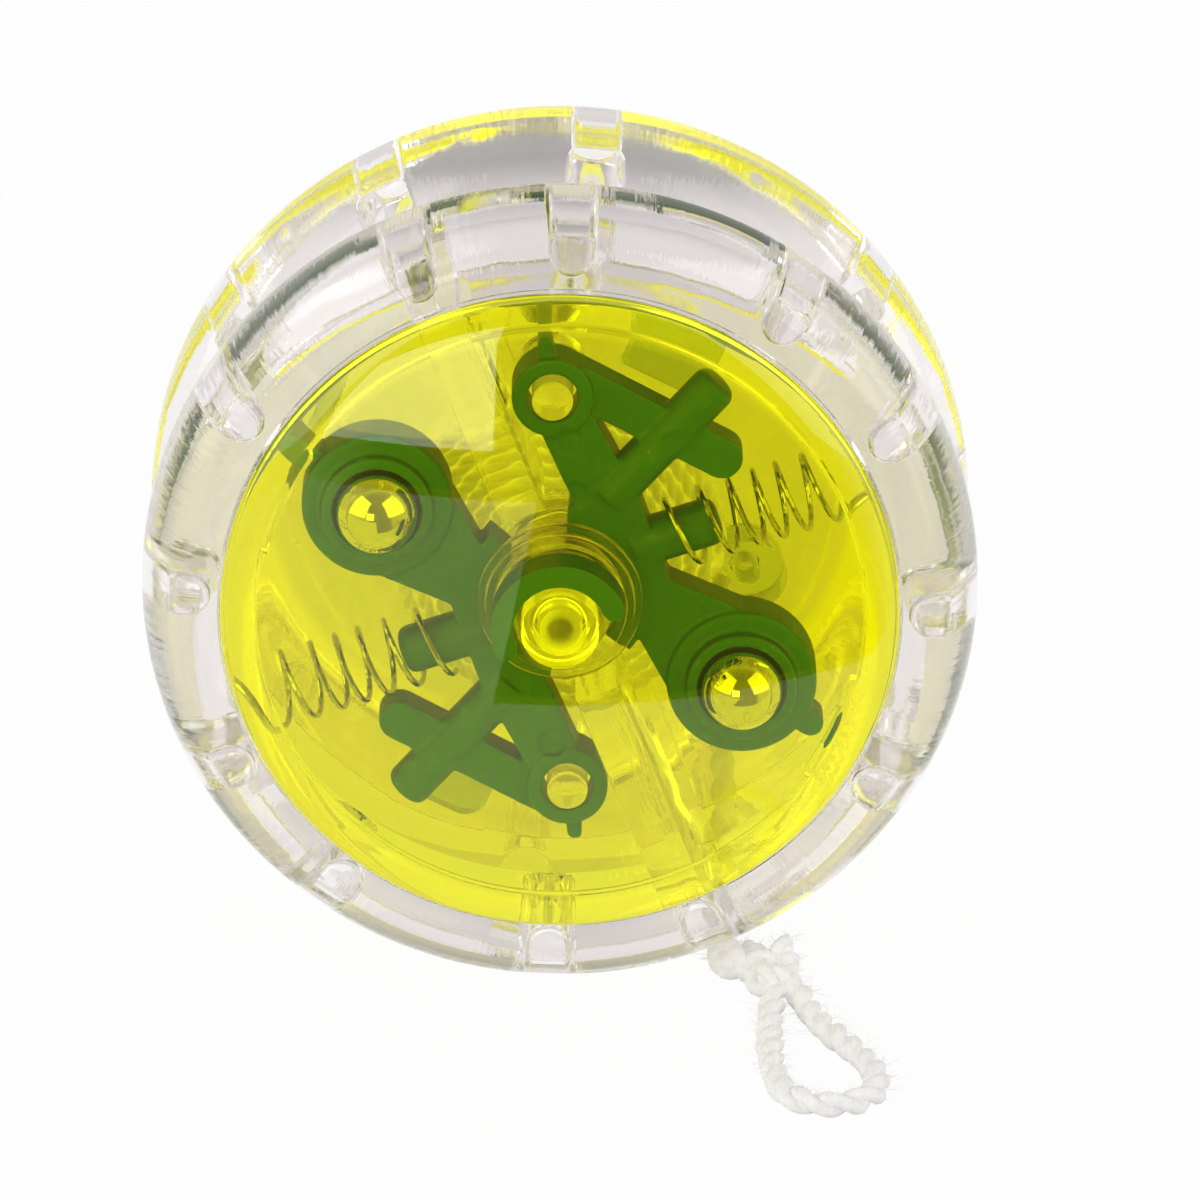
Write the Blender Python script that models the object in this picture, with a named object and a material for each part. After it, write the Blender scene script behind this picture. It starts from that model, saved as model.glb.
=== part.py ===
"""A clear clutch yo-yo, standing on its two rims with its axle along Y.

The clutch half faces -Y. Inside it two sprung arms squeeze the drum of the string spool, so the
string winds up with the body. Spun fast, the steel balls swing the arms out, the drum comes free
and the yo-yo sleeps at the end of its string.

Every piece is modelled in the axle's own frame: x to the right, y up, z along the axle towards
the clutch cap. One empty carries that frame, and turns z to face -Y.
"""

import math

import bmesh
import bpy
from mathutils import Matrix, Vector

MM = 0.001

# Whole object
RIM_RADIUS = 28.5 * MM
RIM_SIDES = 48
AXIS_HEIGHT = RIM_RADIUS * math.cos(math.pi / RIM_SIDES)
FIT_GAP = 0.3 * MM

# Shells: heights are measured along the axle from the middle of the string gap
GAP_HALF = 1.75 * MM
GAP_FACE_RADIUS = 20.0 * MM
RIM_LOW = 7.6 * MM
RIM_HIGH = 8.0 * MM
LIP_RADIUS = 24.4 * MM
LIP_HEIGHT = 13.6 * MM
CUP_RADIUS = 23.05 * MM
NECK_RADIUS = 22.95 * MM
NECK_HEIGHT = 13.3 * MM
GROOVE_RADIUS = 23.25 * MM
GROOVE_LOW = 12.8 * MM
GROOVE_HIGH = 13.1 * MM
WEB_HEIGHT = 4.0 * MM
WEB_FILLET = 0.5 * MM
WEB_HOLE_RADIUS = 4.6 * MM
FLARE_STEPS = 5

# Pockets cored into the rims from the gap side, unevenly spaced round each shell
FRONT_POCKETS_DEG = (28.0, 53.5, 88.2, 112.5, 148.0, 178.2)
REAR_POCKETS_DEG = (2.8, 37.8, 84.6, 117.3, 147.8)
POCKET_INNER_RADIUS = 23.65 * MM
POCKET_OUTER_RADIUS = 27.15 * MM
POCKET_HALF_WIDTH = 1.85 * MM
POCKET_CORNER = 0.55 * MM
POCKET_MOUTH = 3.4 * MM
POCKET_END = 11.6 * MM
POCKET_SIDE_DRAFT = 0.03
POCKET_OUTER_DRAFT = 0.12

# Ribs, posts and pads on the webs
RIB_WIDTH = 3.1 * MM
FRONT_RIB_HEIGHT = 11.8 * MM
REAR_RIB_HEIGHT = 5.8 * MM
RIB_INNER_RADIUS = 6.8 * MM
RIB_DEG = (111.5, -68.5)
POST_SHOULDER_RADIUS = 2.6 * MM
POST_SHOULDER_HEIGHT = 5.9 * MM
POST_RADIUS = 1.4 * MM
POST_HEIGHT = 10.3 * MM
PAD_PLACE = (7.4 * MM, 15.2 * MM)
PAD_TURN_DEG = -27.0
PAD_HALF_WIDTH = 2.9 * MM
PAD_INNER = 1.6 * MM
PAD_OUTER = 2.1 * MM
PAD_CORNER = 1.6 * MM
PAD_HEIGHT = 5.6 * MM
BOSS_PLACE = (13.5 * MM, -3.5 * MM)
BOSS_RADIUS = 2.6 * MM
BOSS_HOLE_RADIUS = 0.9 * MM
BOSS_HEIGHT = 8.0 * MM

# Caps
CAP_RADIUS = 22.75 * MM
CAP_TOP = 18.0 * MM
CAP_EDGE_HEIGHT = 14.6 * MM
CAP_EDGE_RADIUS = 22.3 * MM
CAP_PLATE = 1.5 * MM
CAP_RING_INNER = 20.4 * MM
CAP_RING_LOW = 12.5 * MM
CAP_BEAD_RADIUS = 23.0 * MM
CAP_BEAD_LOW = 12.85 * MM
CAP_BEAD_HIGH = 13.05 * MM
CAP_BEAD_SLOPE = 0.2 * MM
CAP_BOSS_RADIUS = 2.6 * MM
CAP_BOSS_END = 13.6 * MM
CAP_SOCKET_RADIUS = 1.8 * MM
CAP_SOCKET_END = 16.0 * MM
TAB_INNER_RADIUS = 19.4 * MM
TAB_SPANS_DEG = ((145.0, 167.0), (325.0, 347.0))
DOME_STEPS = 4

# Axle, nut and washers
AXLE_RADIUS = 1.5 * MM
AXLE_FRONT = 15.7 * MM
AXLE_REAR = -13.2 * MM
AXLE_CHAMFER = 0.3 * MM
HUB_BORE_RADIUS = 1.8 * MM
HUB_RADIUS = 5.0 * MM
HUB_HEIGHT = 12.0 * MM
NUT_ACROSS_FLATS = 5.5 * MM
NUT_LOW = 9.6 * MM
NUT_HIGH = 12.0 * MM
WASHER_BORE_RADIUS = 1.85 * MM
FRONT_WASHER_RADIUS = 3.4 * MM
REAR_WASHER_RADIUS = 4.2 * MM
WASHER_THICKNESS = 0.4 * MM
WASHER_RECESS = 2.6 * MM

# String spool with its clutch drum, and the bush it turns on
SPOOL_RADIUS = 4.2 * MM
SPOOL_REAR = -1.6 * MM
DRUM_RADIUS = 5.56 * MM
DRUM_LOW = 4.4 * MM
DRUM_TOP = 12.4 * MM
DRUM_GROOVE_LOW = 10.4 * MM
DRUM_GROOVE_HIGH = 11.1 * MM
DRUM_GROOVE_DEPTH = 0.45 * MM
DRUM_CHAMFER = 0.3 * MM
SPOOL_BORE_RADIUS = 2.9 * MM
KIDNEY_INNER = 3.5 * MM
KIDNEY_OUTER = 4.7 * MM
KIDNEY_DEPTH = 1.6 * MM
KIDNEY_SWEEP_DEG = 236.0
KIDNEY_MIDDLE_DEG = 106.0
BUSH_INNER_RADIUS = 1.8 * MM
BUSH_OUTER_RADIUS = 2.6 * MM

# Clutch arms: places on the right arm, and the left arm is the same piece turned half round
PIVOT = (-0.5 * MM, 14.1 * MM)
PIVOT_HOLE_RADIUS = 1.7 * MM
RING_RADIUS = 2.75 * MM
RING_LOW = 6.3 * MM
RING_HIGH = 9.7 * MM
ARM_LOW = 6.4 * MM
ARM_HIGH = 9.4 * MM
STRUT_RADIUS = 1.75 * MM
JAW_TOP = (3.4 * MM, 6.0 * MM)
JAW_TOP_RADIUS = 2.1 * MM
JAW_END = (5.9 * MM, -0.5 * MM)
JAW_END_RADIUS = 1.85 * MM
JAW_CLEARANCE = DRUM_RADIUS + FIT_GAP
BRACE_START = (0.8 * MM, 15.0 * MM)
BRACE_END = (10.9 * MM, 9.5 * MM)
BRACE_RADIUS = 1.4 * MM
BRACE_LOW = 6.6 * MM
BRACE_HIGH = 9.1 * MM
ROD_START = (3.3 * MM, 6.7 * MM)
ROD_END = (10.7 * MM, 14.9 * MM)
ROD_RADIUS = 1.55 * MM
ROD_HEIGHT = 8.35 * MM
NIB_END = (-1.05 * MM, 18.1 * MM)
NIB_RADIUS = 0.5 * MM
LUG_END = (17.0 * MM, -9.7 * MM)
LUG_RADIUS = 0.9 * MM

# Steel balls and the holders on the arms
BALL_PLACE = (12.3 * MM, -6.4 * MM)
BALL_RADIUS = 2.78 * MM
BALL_HEIGHT = 10.9 * MM
HOLDER_RADIUS = 5.1 * MM
HOLDER_LOW = 6.2 * MM
HOLDER_HIGH = 10.0 * MM
HOLDER_LIMB_RADIUS = 4.7 * MM
HOLDER_CHAMFER = 0.5 * MM
COLLAR_RADIUS = 3.8 * MM
COLLAR_HIGH = 11.5 * MM
BORE_RADIUS = 3.0 * MM
BORE_FLOOR = 7.8 * MM

# Clutch springs, each on a peg of its arm
PEG_START = (5.0 * MM, 2.95 * MM)
PEG_DEG = 18.4
PEG_LENGTH = 6.0 * MM
PEG_RADIUS = 1.65 * MM
SPRING_HEIGHT = 8.0 * MM
SPRING_START = 2.75 * MM
SPRING_END = 16.5 * MM
SPRING_COIL_RADIUS = 2.45 * MM
SPRING_WIRE_RADIUS = 0.2 * MM
SPRING_TURNS = 6
SPRING_POINTS_PER_TURN = 9

# String: a wound core, its outer turns, and the free end with its finger loop
STRING_RADIUS = 0.75 * MM
CORE_INNER_RADIUS = SPOOL_RADIUS + FIT_GAP
CORE_OUTER_RADIUS = 10.2 * MM
CORE_HALF_WIDTH = 1.35 * MM
TURN_RADIUS = 11.1 * MM
TURN_TUBE_RADIUS = 0.55 * MM
TURN_OFFSET = 0.78 * MM
TURNS = 1.85
TURN_POINTS = 24
CROSS_MARGIN_DEG = 9.0
CROSS_DEG = 36.0
KNOT_CENTRE = (13.7 * MM, 12.1 * MM)
KNOT_LENGTH = 7.2 * MM
KNOT_WIDTH = 4.4 * MM
KNOT_THICKNESS = 3.0 * MM
KNOT_TURN_DEG = 45.0
FLOOR_CLEARANCE = 0.05 * MM

# Free string from the outer turn to the knot: x, height above the table, distance to the front
TAIL_ROUTE_MM = (
    (11.1, 26.7, 0.78),
    (11.15, 19.0, 0.8),
    (11.3, 11.0, 0.8),
    (11.4, 5.6, 1.1),
    (11.45, 2.6, 2.6),
    (11.4, 1.15, 4.9),
    (11.3, 0.85, 6.8),
    (11.2, 0.85, 8.4),
)

# Finger loop on the table, out of the knot and back to it: x, distance to the front
LOOP_ROUTE_MM = (
    (14.6, 16.4),
    (14.35, 18.7),
    (14.2, 22.0),
    (14.25, 25.2),
    (14.45, 27.9),
    (14.8, 30.2),
    (15.35, 31.5),
    (16.4, 32.4),
    (17.7, 32.85),
    (19.1, 32.65),
    (20.3, 31.9),
    (21.05, 30.7),
    (21.25, 29.3),
    (20.95, 27.0),
    (20.2, 24.9),
    (19.2, 22.8),
    (18.1, 20.8),
    (17.2, 18.5),
    (16.6, 16.4),
)
ROUTE_STEP = 3.0 * MM
LOOP_STEP = 2.2 * MM

CLEAR = ("clear plastic", (0.86, 0.88, 0.88), 0.08, 0.0)
YELLOW = ("fluorescent yellow plastic", (0.80, 0.76, 0.02), 0.08, 0.0)
GREEN = ("dark green plastic", (0.03, 0.12, 0.03), 0.45, 0.0)
NATURAL = ("natural plastic", (0.72, 0.74, 0.62), 0.3, 0.0)
STEEL = ("steel", (0.62, 0.63, 0.64), 0.15, 1.0)
BRASS = ("brass", (0.72, 0.55, 0.24), 0.25, 1.0)
COTTON = ("white cotton", (0.86, 0.85, 0.82), 0.95, 0.0)

SMOOTH_DEG = 35.0


def clear_scene():
    for found in list(bpy.data.objects):
        bpy.data.objects.remove(found, do_unlink=True)


def material(finish):
    name, colour, roughness, metallic = finish
    made = bpy.data.materials.get(name) or bpy.data.materials.new(name)
    made.use_nodes = True
    shader = made.node_tree.nodes["Principled BSDF"]
    shader.inputs["Base Color"].default_value = (*colour, 1.0)
    shader.inputs["Roughness"].default_value = roughness
    shader.inputs["Metallic"].default_value = metallic
    return made


def add_object(name, data, finish, frame, place=(0.0, 0.0, 0.0), turn=(0.0, 0.0, 0.0)):
    """A named piece in the axle's frame."""
    made = bpy.data.objects.new(name, data)
    bpy.context.scene.collection.objects.link(made)
    made.parent = frame
    made.location = place
    made.rotation_euler = turn
    if not data.materials:
        data.materials.append(material(finish))
    return made


def finished(shape, name):
    """The mesh of a bmesh, facing out, smooth on its round faces."""
    bmesh.ops.recalc_face_normals(shape, faces=shape.faces)
    mesh = bpy.data.meshes.new(name)
    shape.to_mesh(mesh)
    shape.free()
    smooth(mesh)
    return mesh


def smooth(mesh):
    mesh.shade_smooth()
    mesh.set_sharp_from_angle(angle=math.radians(SMOOTH_DEG))


def turned(profile, sides):
    """A bmesh of a closed outline of (radius, height) turned about z, with a flat side at -y."""
    shape = bmesh.new()
    rings = []
    for radius, height in profile:
        if radius == 0:
            rings.append([shape.verts.new((0, 0, height))])
            continue
        ring = []
        for i in range(sides):
            angle = 2 * math.pi * (i + 0.5) / sides - math.pi / 2
            ring.append(shape.verts.new((radius * math.cos(angle), radius * math.sin(angle), height)))
        rings.append(ring)
    for k, ring in enumerate(rings):
        other = rings[(k + 1) % len(rings)]
        for i in range(sides):
            j = (i + 1) % sides
            corners = [ring[i % len(ring)], ring[j % len(ring)], other[j % len(other)], other[i % len(other)]]
            corners = list(dict.fromkeys(corners))
            if len(corners) > 2:
                shape.faces.new(corners)
    return shape


def prism(outline, low, high):
    """A bmesh of a closed (x, y) outline between two heights."""
    shape = bmesh.new()
    bottom = [shape.verts.new((x, y, low)) for x, y in outline]
    top = [shape.verts.new((x, y, high)) for x, y in outline]
    shape.faces.new(bottom)
    shape.faces.new(top)
    for i in range(len(outline)):
        j = (i + 1) % len(outline)
        shape.faces.new((bottom[i], bottom[j], top[j], top[i]))
    return shape


def arc(centre, radius, start, end, steps):
    """Points along an arc, angles in radians, both ends included."""
    angles = [start + (end - start) * i / steps for i in range(steps + 1)]
    return [(centre[0] + radius * math.cos(a), centre[1] + radius * math.sin(a)) for a in angles]


def limb_outline(start, start_radius, end, end_radius, steps=7):
    """The outline round two discs, as one tapering limb."""
    along = Vector(end) - Vector(start)
    heading = math.atan2(along.y, along.x)
    spread = math.acos((start_radius - end_radius) / along.length)
    far = arc(end, end_radius, heading - spread, heading + spread, steps)
    near = arc(start, start_radius, heading + spread, heading + 2 * math.pi - spread, steps)
    return far + near


def merged(shapes):
    """Several bmeshes that don't touch, as one."""
    whole = bmesh.new()
    for shape in shapes:
        mesh = bpy.data.meshes.new("piece")
        bmesh.ops.recalc_face_normals(shape, faces=shape.faces)
        shape.to_mesh(mesh)
        shape.free()
        whole.from_mesh(mesh)
        bpy.data.meshes.remove(mesh)
    return whole


def combined(name, base, steps):
    """The mesh of a base after each (operation, bmesh) in turn."""
    body = bpy.data.objects.new(name, finished(base, name))
    bpy.context.scene.collection.objects.link(body)
    tools = []
    for operation, shape in steps:
        tool = bpy.data.objects.new(name + "_tool", finished(shape, name + "_tool"))
        tool.hide_render = True
        tool.display_type = "WIRE"
        bpy.context.scene.collection.objects.link(tool)
        tools.append(tool)
        cut = body.modifiers.new(operation.title(), "BOOLEAN")
        cut.operation = operation
        cut.object = tool
        cut.solver = "EXACT"
    bpy.context.view_layer.update()
    graph = bpy.context.evaluated_depsgraph_get()
    mesh = bpy.data.meshes.new_from_object(body.evaluated_get(graph))
    for helper in [body, *tools]:
        bpy.data.objects.remove(helper, do_unlink=True)
    mesh.name = name
    smooth(mesh)
    return mesh


def moved(shape, place=(0.0, 0.0, 0.0), turn_deg=0.0):
    """A bmesh turned about z and then moved."""
    matrix = Matrix.Translation(place) @ Matrix.Rotation(math.radians(turn_deg), 4, "Z")
    bmesh.ops.transform(shape, matrix=matrix, verts=shape.verts)
    return shape


def flipped(shape):
    """A bmesh mirrored through the middle of the string gap."""
    bmesh.ops.transform(shape, matrix=Matrix.Scale(-1, 4, (0, 0, 1)), verts=shape.verts)
    return shape


def both_ways(place):
    """A place and the one opposite it across the axle."""
    return (place, (-place[0], -place[1]))


def rod(start, end, radius, height, sides=16):
    """A round rod lying across the axle, flat at its start and rounded at its end."""
    along = Vector((end[0] - start[0], end[1] - start[1], 0.0))
    rounding = radius * 0.45
    rim = arc((radius - rounding, along.length - rounding), rounding, 0.0, math.pi / 2, 3)
    shape = turned([(0.0, 0.0), (radius, 0.0), *rim, (0.0, along.length)], sides)
    turn = along.to_track_quat("Z", "Y").to_matrix().to_4x4()
    matrix = Matrix.Translation((start[0], start[1], height)) @ turn
    bmesh.ops.transform(shape, matrix=matrix, verts=shape.verts)
    return shape


def shell_outline(inner):
    """The outline of a shell, from its gap face round the rim, past the cap's groove and down the cup, then inner."""
    flare_width = RIM_RADIUS - GAP_FACE_RADIUS
    flare_height = RIM_LOW - GAP_HALF
    slope_width = RIM_RADIUS - LIP_RADIUS
    slope_height = LIP_HEIGHT - RIM_HIGH
    quarter = [math.pi / 2 * i / FLARE_STEPS for i in range(FLARE_STEPS + 1)]
    flare = [
        (GAP_FACE_RADIUS + flare_width * math.sin(a), RIM_LOW - flare_height * math.cos(a)) for a in quarter
    ]
    slope = [(LIP_RADIUS + slope_width * math.cos(a), RIM_HIGH + slope_height * math.sin(a)) for a in quarter]
    cup = [
        (NECK_RADIUS, LIP_HEIGHT),
        (NECK_RADIUS, NECK_HEIGHT),
        (GROOVE_RADIUS, GROOVE_HIGH),
        (GROOVE_RADIUS, GROOVE_LOW),
        (CUP_RADIUS, GROOVE_LOW - (GROOVE_RADIUS - CUP_RADIUS)),
        (CUP_RADIUS, WEB_HEIGHT + WEB_FILLET),
        (CUP_RADIUS - WEB_FILLET, WEB_HEIGHT),
    ]
    return flare + slope + cup + inner


def pocket_outline(height):
    """A pocket's outline across the axle: round towards the axle, flat towards the rim."""
    half = POCKET_HALF_WIDTH - POCKET_SIDE_DRAFT * (height - POCKET_MOUTH)
    top = POCKET_OUTER_RADIUS - POCKET_OUTER_DRAFT * (height - POCKET_MOUTH)
    side = half - POCKET_CORNER
    outline = arc((0.0, POCKET_INNER_RADIUS + half), half, math.pi, 2 * math.pi, 6)
    outline += arc((side, top - POCKET_CORNER), POCKET_CORNER, 0.0, math.pi / 2, 2)
    outline += arc((-side, top - POCKET_CORNER), POCKET_CORNER, math.pi / 2, math.pi, 2)
    return outline


def rim_pockets(angles):
    """The pockets of one rim: blind, tapered, open on the flare, and repeated half a turn round."""
    shapes = []
    for angle in (*angles, *(angle + 180.0 for angle in angles)):
        shape = bmesh.new()
        loops = []
        for height in (GAP_HALF - MM, POCKET_END):
            loops.append([shape.verts.new((out, across, height)) for across, out in pocket_outline(height)])
        mouth, end = loops
        shape.faces.new(mouth)
        shape.faces.new(end)
        for a in range(len(mouth)):
            b = (a + 1) % len(mouth)
            shape.faces.new((mouth[a], mouth[b], end[b], end[a]))
        shapes.append(moved(shape, turn_deg=angle))
    return merged(shapes)


def pads():
    """The rounded stops beside the posts, flat towards the arms."""
    side = PAD_HALF_WIDTH - PAD_CORNER
    outline = [(-PAD_HALF_WIDTH, -PAD_INNER), (PAD_HALF_WIDTH, -PAD_INNER)]
    outline += arc((side, PAD_OUTER - PAD_CORNER), PAD_CORNER, 0.0, math.pi / 2, 4)
    outline += arc((-side, PAD_OUTER - PAD_CORNER), PAD_CORNER, math.pi / 2, math.pi, 4)
    stops = []
    for half_turn in (0.0, 180.0):
        stop = prism(outline, WEB_HEIGHT - FIT_GAP, PAD_HEIGHT)
        stop = moved(stop, (*PAD_PLACE, 0.0), PAD_TURN_DEG)
        stops.append(moved(stop, turn_deg=half_turn))
    return merged(stops)


def ribs(height):
    """The two ribs that stand on a web, from near the drum to the cup's wall."""
    root = WEB_HEIGHT - FIT_GAP
    half = RIB_WIDTH / 2
    outer = CUP_RADIUS + 2 * FIT_GAP
    outline = [(RIB_INNER_RADIUS, -half), (outer, -half), (outer, half), (RIB_INNER_RADIUS, half)]
    return merged([moved(prism(outline, root, height), turn_deg=angle) for angle in RIB_DEG])


def standing(profile, places, sides=20):
    """The same turned post at several places on a web."""
    return merged([moved(turned(profile, sides), (*place, 0.0)) for place in places])


def make_front_shell(frame):
    root = WEB_HEIGHT - FIT_GAP
    inner = [(WEB_HOLE_RADIUS, WEB_HEIGHT), (WEB_HOLE_RADIUS, GAP_HALF)]
    post = [
        (0.0, root),
        (POST_SHOULDER_RADIUS, root),
        (POST_SHOULDER_RADIUS, POST_SHOULDER_HEIGHT),
        (POST_RADIUS, POST_SHOULDER_HEIGHT),
        (POST_RADIUS, POST_HEIGHT - FIT_GAP),
        (POST_RADIUS - FIT_GAP, POST_HEIGHT),
        (0.0, POST_HEIGHT),
    ]
    steps = [
        ("DIFFERENCE", rim_pockets(FRONT_POCKETS_DEG)),
        ("UNION", ribs(FRONT_RIB_HEIGHT)),
        ("UNION", standing(post, both_ways(PIVOT))),
        ("UNION", pads()),
    ]
    mesh = combined("front_shell", turned(shell_outline(inner), RIM_SIDES), steps)
    return add_object("front_shell", mesh, CLEAR, frame)


def make_rear_shell(frame):
    root = WEB_HEIGHT - FIT_GAP
    inner = [
        (HUB_RADIUS + WEB_FILLET, WEB_HEIGHT),
        (HUB_RADIUS, WEB_HEIGHT + WEB_FILLET),
        (HUB_RADIUS, HUB_HEIGHT),
        (HUB_BORE_RADIUS, HUB_HEIGHT),
        (HUB_BORE_RADIUS, WASHER_RECESS),
        (WEB_HOLE_RADIUS, WASHER_RECESS),
        (WEB_HOLE_RADIUS, GAP_HALF),
    ]
    boss = [
        (BOSS_HOLE_RADIUS, root + 1.0 * MM),
        (BOSS_HOLE_RADIUS, BOSS_HEIGHT),
        (BOSS_RADIUS, BOSS_HEIGHT),
        (BOSS_RADIUS, root),
        (0.0, root),
        (0.0, root + 1.0 * MM),
    ]
    pocket = hexagon(NUT_ACROSS_FLATS + 2 * FIT_GAP)
    steps = [
        ("DIFFERENCE", flipped(rim_pockets(REAR_POCKETS_DEG))),
        ("UNION", flipped(ribs(REAR_RIB_HEIGHT))),
        ("UNION", flipped(standing(boss, both_ways(BOSS_PLACE)))),
        ("DIFFERENCE", flipped(prism(pocket, NUT_LOW - FIT_GAP, HUB_HEIGHT + 1.0 * MM))),
    ]
    mesh = combined("rear_shell", flipped(turned(shell_outline(inner), RIM_SIDES)), steps)
    return add_object("rear_shell", mesh, CLEAR, frame)


def make_caps(frame):
    """Two equal moulded caps: a dome, an edge ring with a snap bead and two tabs, and a boss over the axle."""
    drop = CAP_TOP - CAP_EDGE_HEIGHT

    def dome(radius):
        return CAP_TOP - drop * (radius / CAP_EDGE_RADIUS) ** 2

    outer_radii = [CAP_EDGE_RADIUS * i / DOME_STEPS for i in range(DOME_STEPS + 1)]
    span = CAP_RING_INNER - CAP_BOSS_RADIUS
    inner_radii = [CAP_RING_INNER - span * i / DOME_STEPS for i in range(DOME_STEPS + 1)]
    edge = [
        (CAP_RADIUS, CAP_EDGE_HEIGHT - (CAP_RADIUS - CAP_EDGE_RADIUS)),
        (CAP_RADIUS, CAP_BEAD_HIGH + CAP_BEAD_SLOPE),
        (CAP_BEAD_RADIUS, CAP_BEAD_HIGH),
        (CAP_BEAD_RADIUS, CAP_BEAD_LOW),
        (CAP_RADIUS, CAP_BEAD_LOW - CAP_BEAD_SLOPE),
        (CAP_RADIUS, CAP_RING_LOW),
        (CAP_RING_INNER, CAP_RING_LOW),
    ]
    boss = [
        (CAP_BOSS_RADIUS, CAP_BOSS_END),
        (CAP_SOCKET_RADIUS, CAP_BOSS_END),
        (CAP_SOCKET_RADIUS, CAP_SOCKET_END),
        (0.0, CAP_SOCKET_END),
    ]
    outline = [(r, dome(r)) for r in outer_radii] + edge + [(r, dome(r) - CAP_PLATE) for r in inner_radii] + boss
    tabs = []
    for start, end in TAB_SPANS_DEG:
        turns = (math.radians(start), math.radians(end))
        tab = arc((0.0, 0.0), CAP_RING_INNER + FIT_GAP, *turns, 4)
        tab += arc((0.0, 0.0), TAB_INNER_RADIUS, *reversed(turns), 4)
        tabs.append(prism(tab, CAP_RING_LOW, dome(TAB_INNER_RADIUS) - CAP_PLATE / 2))
    mesh = combined("cap", turned(outline, RIM_SIDES), [("UNION", merged(tabs))])
    add_object("front_cap", mesh, YELLOW, frame)
    add_object("rear_cap", mesh, YELLOW, frame, turn=(math.pi, 0.0, 0.0))


def hexagon(across_flats):
    corner = across_flats / math.sqrt(3)
    return arc((0.0, 0.0), corner, 0.0, 5 * math.pi / 3, 5)


def make_axle(frame):
    """The steel axle, its nut in the rear hub and the washers either side of the spool."""
    axle = [
        (0.0, AXLE_FRONT),
        (AXLE_RADIUS - AXLE_CHAMFER, AXLE_FRONT),
        (AXLE_RADIUS, AXLE_FRONT - AXLE_CHAMFER),
        (AXLE_RADIUS, AXLE_REAR + AXLE_CHAMFER),
        (AXLE_RADIUS - AXLE_CHAMFER, AXLE_REAR),
        (0.0, AXLE_REAR),
    ]
    add_object("axle", finished(turned(axle, 20), "axle"), STEEL, frame)

    bore = [(0.0, NUT_LOW - MM), (HUB_BORE_RADIUS, NUT_LOW - MM), (HUB_BORE_RADIUS, NUT_HIGH + MM), (0.0, NUT_HIGH + MM)]
    nut = combined(
        "axle_nut",
        flipped(prism(hexagon(NUT_ACROSS_FLATS), NUT_LOW, NUT_HIGH)),
        [("DIFFERENCE", flipped(turned(bore, 20)))],
    )
    add_object("axle_nut", nut, STEEL, frame)

    front_low = DRUM_TOP + FIT_GAP
    rear_low = SPOOL_REAR - FIT_GAP - WASHER_THICKNESS
    for name, radius, low in (
        ("front_washer", FRONT_WASHER_RADIUS, front_low),
        ("rear_washer", REAR_WASHER_RADIUS, rear_low),
    ):
        high = low + WASHER_THICKNESS
        ring = [(radius, high), (radius, low), (WASHER_BORE_RADIUS, low), (WASHER_BORE_RADIUS, high)]
        add_object(name, finished(turned(ring, 24), name), NATURAL, frame)


def kidney():
    """The curved slot with round ends in the drum's face."""
    middle = (KIDNEY_INNER + KIDNEY_OUTER) / 2
    end_radius = (KIDNEY_OUTER - KIDNEY_INNER) / 2
    half = math.radians(KIDNEY_SWEEP_DEG / 2)
    tip = (middle * math.cos(half), middle * math.sin(half))
    tail = (tip[0], -tip[1])
    outline = arc((0.0, 0.0), KIDNEY_OUTER, -half, half, 16)
    outline += arc(tip, end_radius, half, half + math.pi, 4)[1:-1]
    outline += arc((0.0, 0.0), KIDNEY_INNER, half, -half, 16)
    outline += arc(tail, end_radius, math.pi - half, 2 * math.pi - half, 4)[1:-1]
    return moved(prism(outline, DRUM_TOP - KIDNEY_DEPTH, DRUM_TOP + MM), turn_deg=KIDNEY_MIDDLE_DEG)


def make_spool(frame):
    """The string spool and clutch drum, one moulding, on a brass bush."""
    groove = DRUM_RADIUS - DRUM_GROOVE_DEPTH
    outline = [
        (SPOOL_BORE_RADIUS, DRUM_TOP),
        (DRUM_RADIUS - DRUM_CHAMFER, DRUM_TOP),
        (DRUM_RADIUS, DRUM_TOP - DRUM_CHAMFER),
        (DRUM_RADIUS, DRUM_GROOVE_HIGH),
        (groove, DRUM_GROOVE_HIGH),
        (groove, DRUM_GROOVE_LOW),
        (DRUM_RADIUS, DRUM_GROOVE_LOW),
        (DRUM_RADIUS, DRUM_LOW),
        (SPOOL_RADIUS, DRUM_LOW),
        (SPOOL_RADIUS, SPOOL_REAR),
        (SPOOL_BORE_RADIUS, SPOOL_REAR),
    ]
    mesh = combined("spool", turned(outline, 36), [("DIFFERENCE", kidney())])
    add_object("spool", mesh, CLEAR, frame)
    bush = [
        (BUSH_OUTER_RADIUS, DRUM_TOP),
        (BUSH_OUTER_RADIUS, SPOOL_REAR),
        (BUSH_INNER_RADIUS, SPOOL_REAR),
        (BUSH_INNER_RADIUS, DRUM_TOP),
    ]
    add_object("spool_bush", finished(turned(bush, 24), "spool_bush"), BRASS, frame)


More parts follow.
